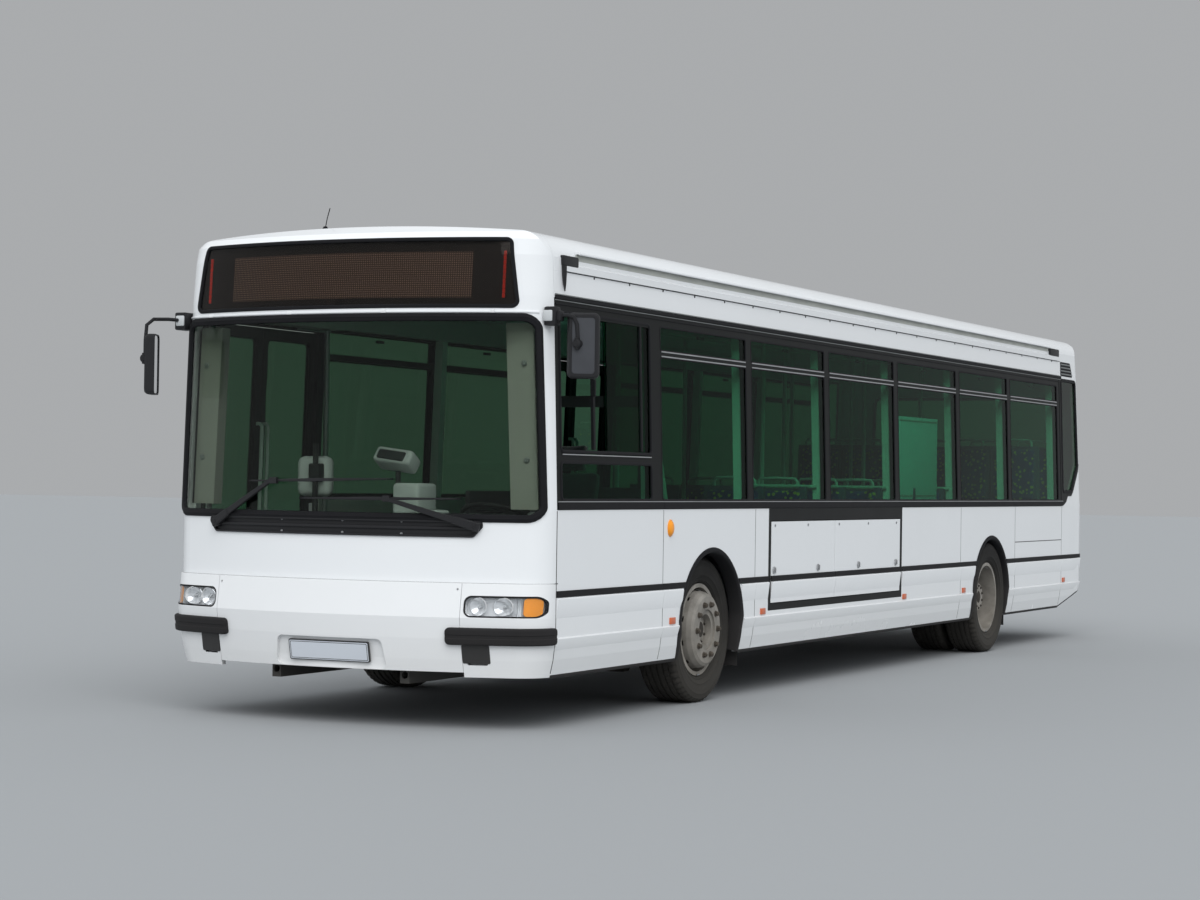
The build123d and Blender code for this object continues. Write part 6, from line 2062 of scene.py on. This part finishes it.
def dash():
    """Shelf below the windscreen, binnacle hood, switch pods and a bellows on the column."""
    top, hood, pale, bellows = blank(4)
    xs = [-1.150 + 2.300 * k / 40 for k in range(41)]
    rows = []
    for depth, z in ((0.110, 1.130), (0.118, 1.150), (0.200, 1.146), (0.300, 1.130),
                     (0.318, 1.112), (0.318, 1.085)):
        places = [behind(x, 1.15, depth) for x in xs]
        # On the door side the shelf stops short of the open leaf
        rows.append([Vector((p.x, min(p.y, -5.478) if x < -0.5 else p.y, z))
                     for x, p in zip(xs, places)])
    add_grid(top, rows)
    sections = [(-5.560, 1.085), (-5.545, 1.150), (-5.480, 1.205), (-5.400, 1.222),
                (-5.330, 1.200), (-5.318, 1.170), (-5.335, 1.150), (-5.390, 1.135),
                (-5.430, 1.085)]
    rows = []
    for k in range(21):
        x = 0.375 + 0.630 * k / 20
        ease = 1 - 0.10 * abs(2 * k / 20 - 1) ** 4
        rows.append([Vector((x, -5.44 + (y + 5.44) * ease, 1.085 + (z - 1.085) * ease))
                     for y, z in sections])
    add_grid(hood, rows, close_along=True)
    add_face(hood, rows[0])
    add_face(hood, rows[-1])
    # Switch pods at each side of the wheel
    slab(pale, (0.30, -5.42, 1.12), (0.400, -5.26, 1.235), 0.020)
    slab(pale, (0.985, -5.42, 1.12), (1.085, -5.26, 1.235), 0.020)
    # Ticket desk: cabinet, tilted console on a post and a rounded cash box
    slab(pale, (-0.075, -5.565, 1.168), (0.235, -5.185, 1.205), 0.014)
    add_tube(hood, [(0.065, -5.30, 1.20), (0.065, -5.30, 1.46)], 0.016, 14)
    turn = Matrix.Rotation(radians(-32), 4, "X") @ Matrix.Rotation(radians(8), 4, "Y")
    add_box(pale, (-0.075, -5.365, 1.475), (0.185, -5.235, 1.575), 0.022, 3, turn)
    add_box(hood, (-0.045, -5.372, 1.520), (0.145, -5.330, 1.580), 0.010, 3, turn)
    add_box(pale, (0.110, -5.45, 1.205), (0.290, -5.22, 1.390), 0.024, 3)
    for k in range(9):
        z = 1.095 + 0.017 * k
        add_turned(bellows, [(0.075, z - 0.008), (0.090, z), (0.075, z + 0.008)],
                   (0.69, -5.28 - 0.004 * k, 0), "Z", 28)
    from_bmesh("dash_shelf", top, "dash_plastic")
    from_bmesh("dash_hood", hood, "dark_lining")
    from_bmesh("dash_pods", pale, "pale_plastic")
    from_bmesh("dash_bellows", bellows, "black_rubber")


dash()
print("dash in place")

# %% [markdown]
# ## Ticket validator
#
# A rounded validator hangs on a black post left of the middle of the windscreen. A box with a
# large bevel gives its soft case.

# %% Validator
def box_and_post():
    """Rounded ticket validator on its black post, left of the middle of the windscreen."""
    pale, dark = blank(2)
    slab(pale, (-0.63, -5.34, 1.300), (-0.40, -5.24, 1.545), 0.045)
    add_tube(dark, [(-0.465, -5.375, 0.372), (-0.465, -5.375, 1.62)], 0.017, 16)
    slab(dark, (-0.505, -5.395, 1.39), (-0.425, -5.335, 1.50), 0.010)
    from_bmesh("validator", pale, "pale_plastic")
    from_bmesh("validator_post", dark, "black_plastic")


box_and_post()
print("validator post", 1.62 - 0.372, "m tall")

# %% [markdown]
# ## Steering wheel
#
# The rim of a steering wheel is a padded ring on two flat spokes, with a horn pad over the hub. It
# is turned about the leaning axis of the stand-in that it takes the place of.

# %% Steering wheel
def steering():
    """Steering wheel with a padded rim, two spokes and a horn pad, tilted like the stand-in."""
    bm, pad = blank(2)
    matrix = Matrix.Translation((0.690, -5.190, 1.190)) @ Matrix.Rotation(radians(-22), 4, "X")

    def turned_into(target, profile, steps=56):
        rows = [[matrix @ Vector((r * cos(2 * pi * k / steps), r * sin(2 * pi * k / steps), h))
                 for k in range(steps)] for r, h in profile]
        add_grid(target, rows, close_along=True)
    ring = [(0.220 + 0.0145 * cos(2 * pi * k / 14), 0.0145 * sin(2 * pi * k / 14))
            for k in range(15)]
    turned_into(bm, ring, 72)
    turned_into(bm, [(0.004, 0.022), (0.038, 0.020), (0.052, 0.010), (0.055, -0.016),
                     (0.034, -0.022), (0.033, -0.290)], 36)
    turned_into(pad, [(0.002, 0.030), (0.030, 0.028), (0.040, 0.019)], 36)
    for s in (1, -1):
        rows = []
        for r, half, low, high in ((0.040, 0.026, -0.012, 0.010), (0.110, 0.018, -0.014, 0.000),
                                   (0.170, 0.016, -0.010, 0.002), (0.213, 0.018, -0.006, 0.006)):
            rows.append([matrix @ Vector((s * r, y, h)) for y, h in
                         ((-half, low), (half, low), (half, high), (-half, high))])
        add_grid(bm, rows, close_along=True)
    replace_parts(from_bmesh("steering_rim", bm, "black_plastic"), "steering_wheel")
    from_bmesh("horn_pad", pad, "dash_plastic")


steering()
print("steering wheel", 2 * 0.220, "m across")

# %% [markdown]
# ## The driver's seat
#
# The driver sits on a stuffed seat with a head rest, on a pedestal with bellows. The passenger
# pad's function makes all three pads, so their seams match.

# %% Driver's seat
def driver_place():
    """Driver's seat: pads on a pedestal with bellows."""
    pads, base = blank(2)
    add_pad(pads, Matrix.Translation((0.690, -4.640, 0.725)), 0.470, 0.470, 0.115, 16, 0.010)
    back = Matrix.Translation((0.690, -4.390, 1.160)) @ Matrix.Rotation(radians(-10), 4, "X")
    add_pad(pads, back @ Matrix.Translation((0, 0.048, 0)) @ Matrix.Rotation(radians(90), 4, "X"),
            0.460, 0.650, 0.098, 16, 0.014)
    head = Matrix.Translation((0.690, -4.320, 1.560)) @ Matrix.Rotation(radians(-10), 4, "X")
    add_pad(pads, head @ Matrix.Translation((0, 0.038, 0)) @ Matrix.Rotation(radians(90), 4, "X"),
            0.260, 0.165, 0.078, 12, 0.008)
    for k in range(7):
        inset = 0.012 * (k % 2)
        slab(base, (0.565 + inset, -4.775 + inset, 0.420 + 0.042 * k),
             (0.815 - inset, -4.485 - inset, 0.462 + 0.042 * k), 0.008)
    slab(base, (0.560, -4.780, 0.3705), (0.820, -4.480, 0.420), 0.010)
    slab(base, (0.480, -4.860, 0.712), (0.900, -4.420, 0.727), 0.006)
    pad_piece = from_bmesh("driver_pads", pads, "driver_cloth")
    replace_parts(pad_piece, "driver_seat")
    from_bmesh("driver_pedestal", base, "black_plastic")


driver_place()
print("driver's seat pads", 3)

# %% [markdown]
# ## Linings, rails and ceiling lamps
#
# Green linings cover the window pillars, and grey panels lie below and above the windows.
# Handrails run along the windows and the ceiling, between two rows of lamps. The linings are boxes
# that follow the lean of the side, cut at the doorways.

# %% Linings
PILLARS = [-4.140, -2.660, -1.180, 0.340, 1.910, 3.380, 4.990]


def linings():
    """Green linings on the window pillars, the panels below the windows and the roof coves."""
    for side, where, _ in SIDES:
        green, grey = blank(2)
        for y in PILLARS:
            if side < 0 and y in (-4.140, -1.180, 0.340):
                continue
            rows = []
            for z in (1.290, 1.565, 1.840, 2.115, 2.390):
                outer, inner = (side * (skin_row(z)[0] - inset) for inset in (0.052, 0.112))
                rows.append([(outer, y - 0.034, z), (outer, y + 0.034, z), (inner, y + 0.034, z),
                             (inner, y - 0.034, z)])
            add_grid(green, rows, close_along=True)
        runs = [(-4.10, 5.10)] if side > 0 else [(-4.17, -1.20), (0.36, 5.10)]
        for y0, y1 in runs:
            for z0, z1, inset, thick in ((1.10, 1.288, 0.052, 0.010),
                                         (2.392, 2.560, 0.060, 0.060)):
                x = skin_row(z1)[0] - inset
                slab(grey, (min(side * x, side * (x - thick)), y0, z0),
                     (max(side * x, side * (x - thick)), y1, z1), 0.004)
        from_bmesh("pillar_linings_" + where, green, "green_lining")
        from_bmesh("side_linings_" + where, grey, "lining")
    rails = bmesh.new()
    for y0, y1 in ((-2.62, -1.22), (-1.14, 0.30), (0.38, 1.87)):
        path = [(1.165, y0, 1.402), (1.120, y0 + 0.03, 1.402), (1.120, y1 - 0.03, 1.402),
                (1.165, y1, 1.402)]
        add_tube(rails, path, 0.014, 10)
    for x in (0.30, -0.30):
        add_tube(rails, [(x, -3.9, 2.62), (x, -3.84, 2.56), (x, 4.54, 2.56), (x, 4.6, 2.62)],
                 0.016, 10)
    for x, y in ((0.98, -3.62), (0.86, -3.42)):
        add_tube(rails, [(x + 0.06, y + 0.10, 1.10), (x, y, 1.75), (x - 0.05, y - 0.06, 2.36)],
                 0.016, 10)
    from_bmesh("side_rails", rails, "handrail")
    lamps = bmesh.new()
    for x in (0.62, -0.62):
        for y0 in (-4.6, -3.1, -1.6, -0.1, 1.4, 2.9):
            slab(lamps, (x - 0.055, y0, 2.690), (x + 0.055, y0 + 1.30, 2.720), 0.012)
    from_bmesh("ceiling_lamps", lamps, "tube_glow")


linings()
print("pillars with linings", len(PILLARS))

# %% [markdown]
# ## Draught screen and bay lining
#
# A teal screen stands beside the window behind the middle pillar, and a dark wall closes the
# shallow bay behind the service flaps. Both are thin sheets, so boxes with a fine bevel are
# enough.

# %% Screen and bay
def draught_screen():
    """Teal screen beside the window behind the middle pillar, with pale bands top and bottom."""
    bm, bands = blank(2)
    slab(bm, (1.168, 0.560, 1.305), (1.174, 1.515, 1.965), 0.002)
    for z in (1.335, 1.930):
        slab(bands, (1.1745, 0.562, z), (1.1765, 1.513, z + 0.012), 0.001)
    for z in (1.42, 1.86):
        slab(bands, (1.150, 0.380, z), (1.166, 0.600, z + 0.02), 0.003)
    from_bmesh("draught_screen", bm, "teal_panel")
    from_bmesh("draught_screen_bands", bands, "lining")


draught_screen()


def bay_lining():
    """Back wall of the shallow bay behind the two service flaps."""
    bm = bmesh.new()
    slab(bm, (1.188, -2.340, 0.440), (1.195, 0.440, 0.990), 0.002)
    from_bmesh("bay_lining", bm, "dark_lining")


bay_lining()
print("bay", BAY)

# %% [markdown]
# ## The driver's sliding window
#
# The driver's side window slides in a rubber frame of its own, with a grip and a bright rail
# below. The frames are swept along the skin like the other rubbers.

# %% Driver's window
def driver_window_trims():
    """Frame of the driver's sliding pane, its grip, and the rail below it."""
    dark, metal = blank(2)
    for y0, y1, z0, z1 in ((-5.490, -4.250, 1.585, 2.380), (-5.490, -4.250, 1.305, 1.525)):
        loop = rounded(rectangle(y0, y1, z0, z1), 0.030, 0.3, 5)
        add_profile(dark, on_left, loop, [(0.010, -0.006), (0.010, 0.001), (0.004, 0.005),
                                          (-0.004, 0.005), (-0.010, 0.001), (-0.010, -0.006)],
                    closed=True)
    path = [(-4.262, 1.5675), (-4.9, 1.5675), (-5.478, 1.5675)]
    add_profile(metal, on_left, path, ridge(0.007, 0.0065, 0.002, base=-0.004))
    for y in (-5.050, -4.385):
        path = [(y, 1.600 + 0.76 * k / 6) for k in range(7)]
        add_profile(dark, on_left, path, ridge(0.026, 0.001, 0.0005, base=-0.016))
    at = on_left(-5.050, 1.960)
    add_box(dark, at + Vector((-0.006, -0.010, -0.050)), at + Vector((0.012, 0.010, 0.050)), 0.005)
    from_bmesh("driver_window_frame", dark, "black_rubber")
    from_bmesh("driver_window_rail", metal, "trim_metal")


driver_window_trims()
print("driver's window framed")

# %% [markdown]
# ## The rear
#
# The photograph shows none of the rear, so it follows the type: a rear window in a rubber seal,
# tall lamp clusters, a bare plate and a bumper ledge. They are swept along the rear skin in the
# same way as at the front, so the two ends belong together.

# %% Rear
def rear_dress():
    ring_strip("rear_window_seal", on_rear,
               rounded([(-0.947, 1.443), (0.947, 1.443), (0.912, 2.297), (-0.912, 2.297)], 0.060),
               seal_section(0.044, 0.011, 0.003))
    strip("rear_ledge", on_rear, level(-1.00, 1.00, 0.590, 30),
          ridge(0.060, 0.012, 0.005, base=-0.003), "black_rubber")
    strip("rear_moulding", on_rear, level(-1.00, 1.00, 1.360, 30),
          ridge(0.030, 0.008, 0.003, base=-0.003), "black_rubber")
    number_plate("rear_plate", lambda x, z: on_rear(x, z + 0.03), 0.004)
    for side, where, _ in SIDES:
        low, high = 0.985 * side, 1.095 * side
        ring_strip("lamp_seal_" + where, on_rear,
                   rounded(rectangle(low, high, 0.703, 1.127), 0.012),
                   [(0.006, -0.004), (0.005, 0.005), (-0.005, 0.005), (-0.006, -0.004)])
        bm = bmesh.new()
        for z in (0.845, 0.985):
            add_profile(bm, on_rear, level(low, high, z, 6),
                        ridge(0.007, 0.004, 0.002, base=-0.006))
        from_bmesh("lamp_bars_" + where, bm, "black_plastic")
        bm = bmesh.new()
        for x in (0.94, 0.70):
            add_block(bm, on_rear(side * x, 2.705) - Vector((0, 0.001, 0)),
                      (0.045, 0.009, 0.014), 0.005)
        from_bmesh("roof_lamps_" + where, bm, "red_lamp")


rear_dress()
print("rear dressed")

# %% [markdown]
# ## Engine door
#
# The engine door carries two fields of louvres, two locks and a grip. All of them ride on the
# door's body, so they lift with it. A slat leans outward at its lower edge to shed rain, so its
# section is turned over where the path runs the other way.

# %% Engine door
def engine_door_dress():
    """Louvres, a lock and a grip, all riding on the engine door."""
    slats, dark = blank(2)
    for x0, x1 in ((-0.80, -0.15), (0.15, 0.80)):
        for k in range(11):
            z = 0.760 + 0.030 * k
            path = level(x0, x1, z, 10)
            flip = skin_frames(on_rear, path)[0][1].z < 0
            section = [(0.011, -0.002), (0.011, 0.002), (-0.006, 0.011), (-0.011, 0.010),
                       (-0.011, -0.002)]
            add_profile(slats, on_rear, path, [(-u, v) for u, v in section] if flip else section)
        loop = rounded(rectangle(x0 - 0.015, x1 + 0.015, 0.735, 1.085), 0.012)
        add_profile(dark, on_rear, loop, [(0.007, -0.002), (0.006, 0.006), (-0.006, 0.006),
                                          (-0.007, -0.002)], closed=True)
    for x in (-0.55, 0.55):
        at = on_rear(x, 0.680)
        add_turned(dark, [(0.0, 0.008), (0.012, 0.008), (0.016, 0.005), (0.016, -0.001)], at, "Y",
                   20)
    at = on_rear(0, 0.690)
    add_box(dark, at + Vector((-0.070, -0.002, -0.014)), at + Vector((0.070, 0.014, 0.014)), 0.006)
    from_bmesh("engine_louvres", slats, "black_plastic", "engine_door")
    from_bmesh("engine_fittings", dark, "black_plastic", "engine_door")


engine_door_dress()
print("louvres", 2 * 11)

# %% [markdown]
# ## Roof hatches
#
# Each roof hatch has a raised form pressed into its lid and a grip at its front edge. They are
# placed by the box of the lid, which the frame gives, so they stay on it whatever its size.

# %% Roof hatches
def roof_dress():
    """A stiffening form on each hatch lid, and a grip at its front edge."""
    for end in ("front", "rear"):
        body = "roof_hatch_" + end
        low, high = (Vector(corner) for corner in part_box(body))
        ribs = bmesh.new()
        add_box(ribs, (low.x + 0.10, low.y + 0.10, high.z - 0.006),
                (high.x - 0.10, high.y - 0.10, high.z + 0.006), 0.006, 3)
        from_bmesh("hatch_form_" + end, ribs, "white_bumper", body)
        grip = bmesh.new()
        add_box(grip, (-0.07, low.y + 0.03, high.z - 0.002), (0.07, low.y + 0.055, high.z + 0.010),
                0.004)
        from_bmesh("hatch_grip_" + end, grip, "black_plastic", body)


roof_dress()
print("hatches dressed")

# %% [markdown]
# ## The underside
#
# Below the floor hang an exhaust with its silencer, and the mud flaps behind the wheels. A bar
# along three points makes the pipe, and the silencer is turned.

# %% Underside
def underside():
    """Exhaust and mud flaps."""
    bm, flaps = blank(2)
    add_tube(bm, [(-0.55, 4.60, 0.42), (-0.70, 5.20, 0.40), (-0.78, 5.70, 0.39)], 0.045, 20, False)
    add_turned(bm, [(0.020, 4.00), (0.115, 4.02), (0.125, 4.06), (0.125, 4.54), (0.115, 4.58),
                    (0.020, 4.60)], (-0.55, 0.0, 0.42), "Y", 32)
    for side in (1, -1):
        for y, x0, x1 in ((-2.735, 0.90, 1.195), (3.385, 0.66, 1.195)):
            add_box(flaps, (min(side * x0, side * x1), y, 0.205), (max(side * x0, side * x1),
                    y + 0.006, 0.500), 0.002)
    from_bmesh("exhaust", bm, "cast_steel")
    from_bmesh("mud_flaps", flaps, "black_rubber")


underside()
print("underside done")
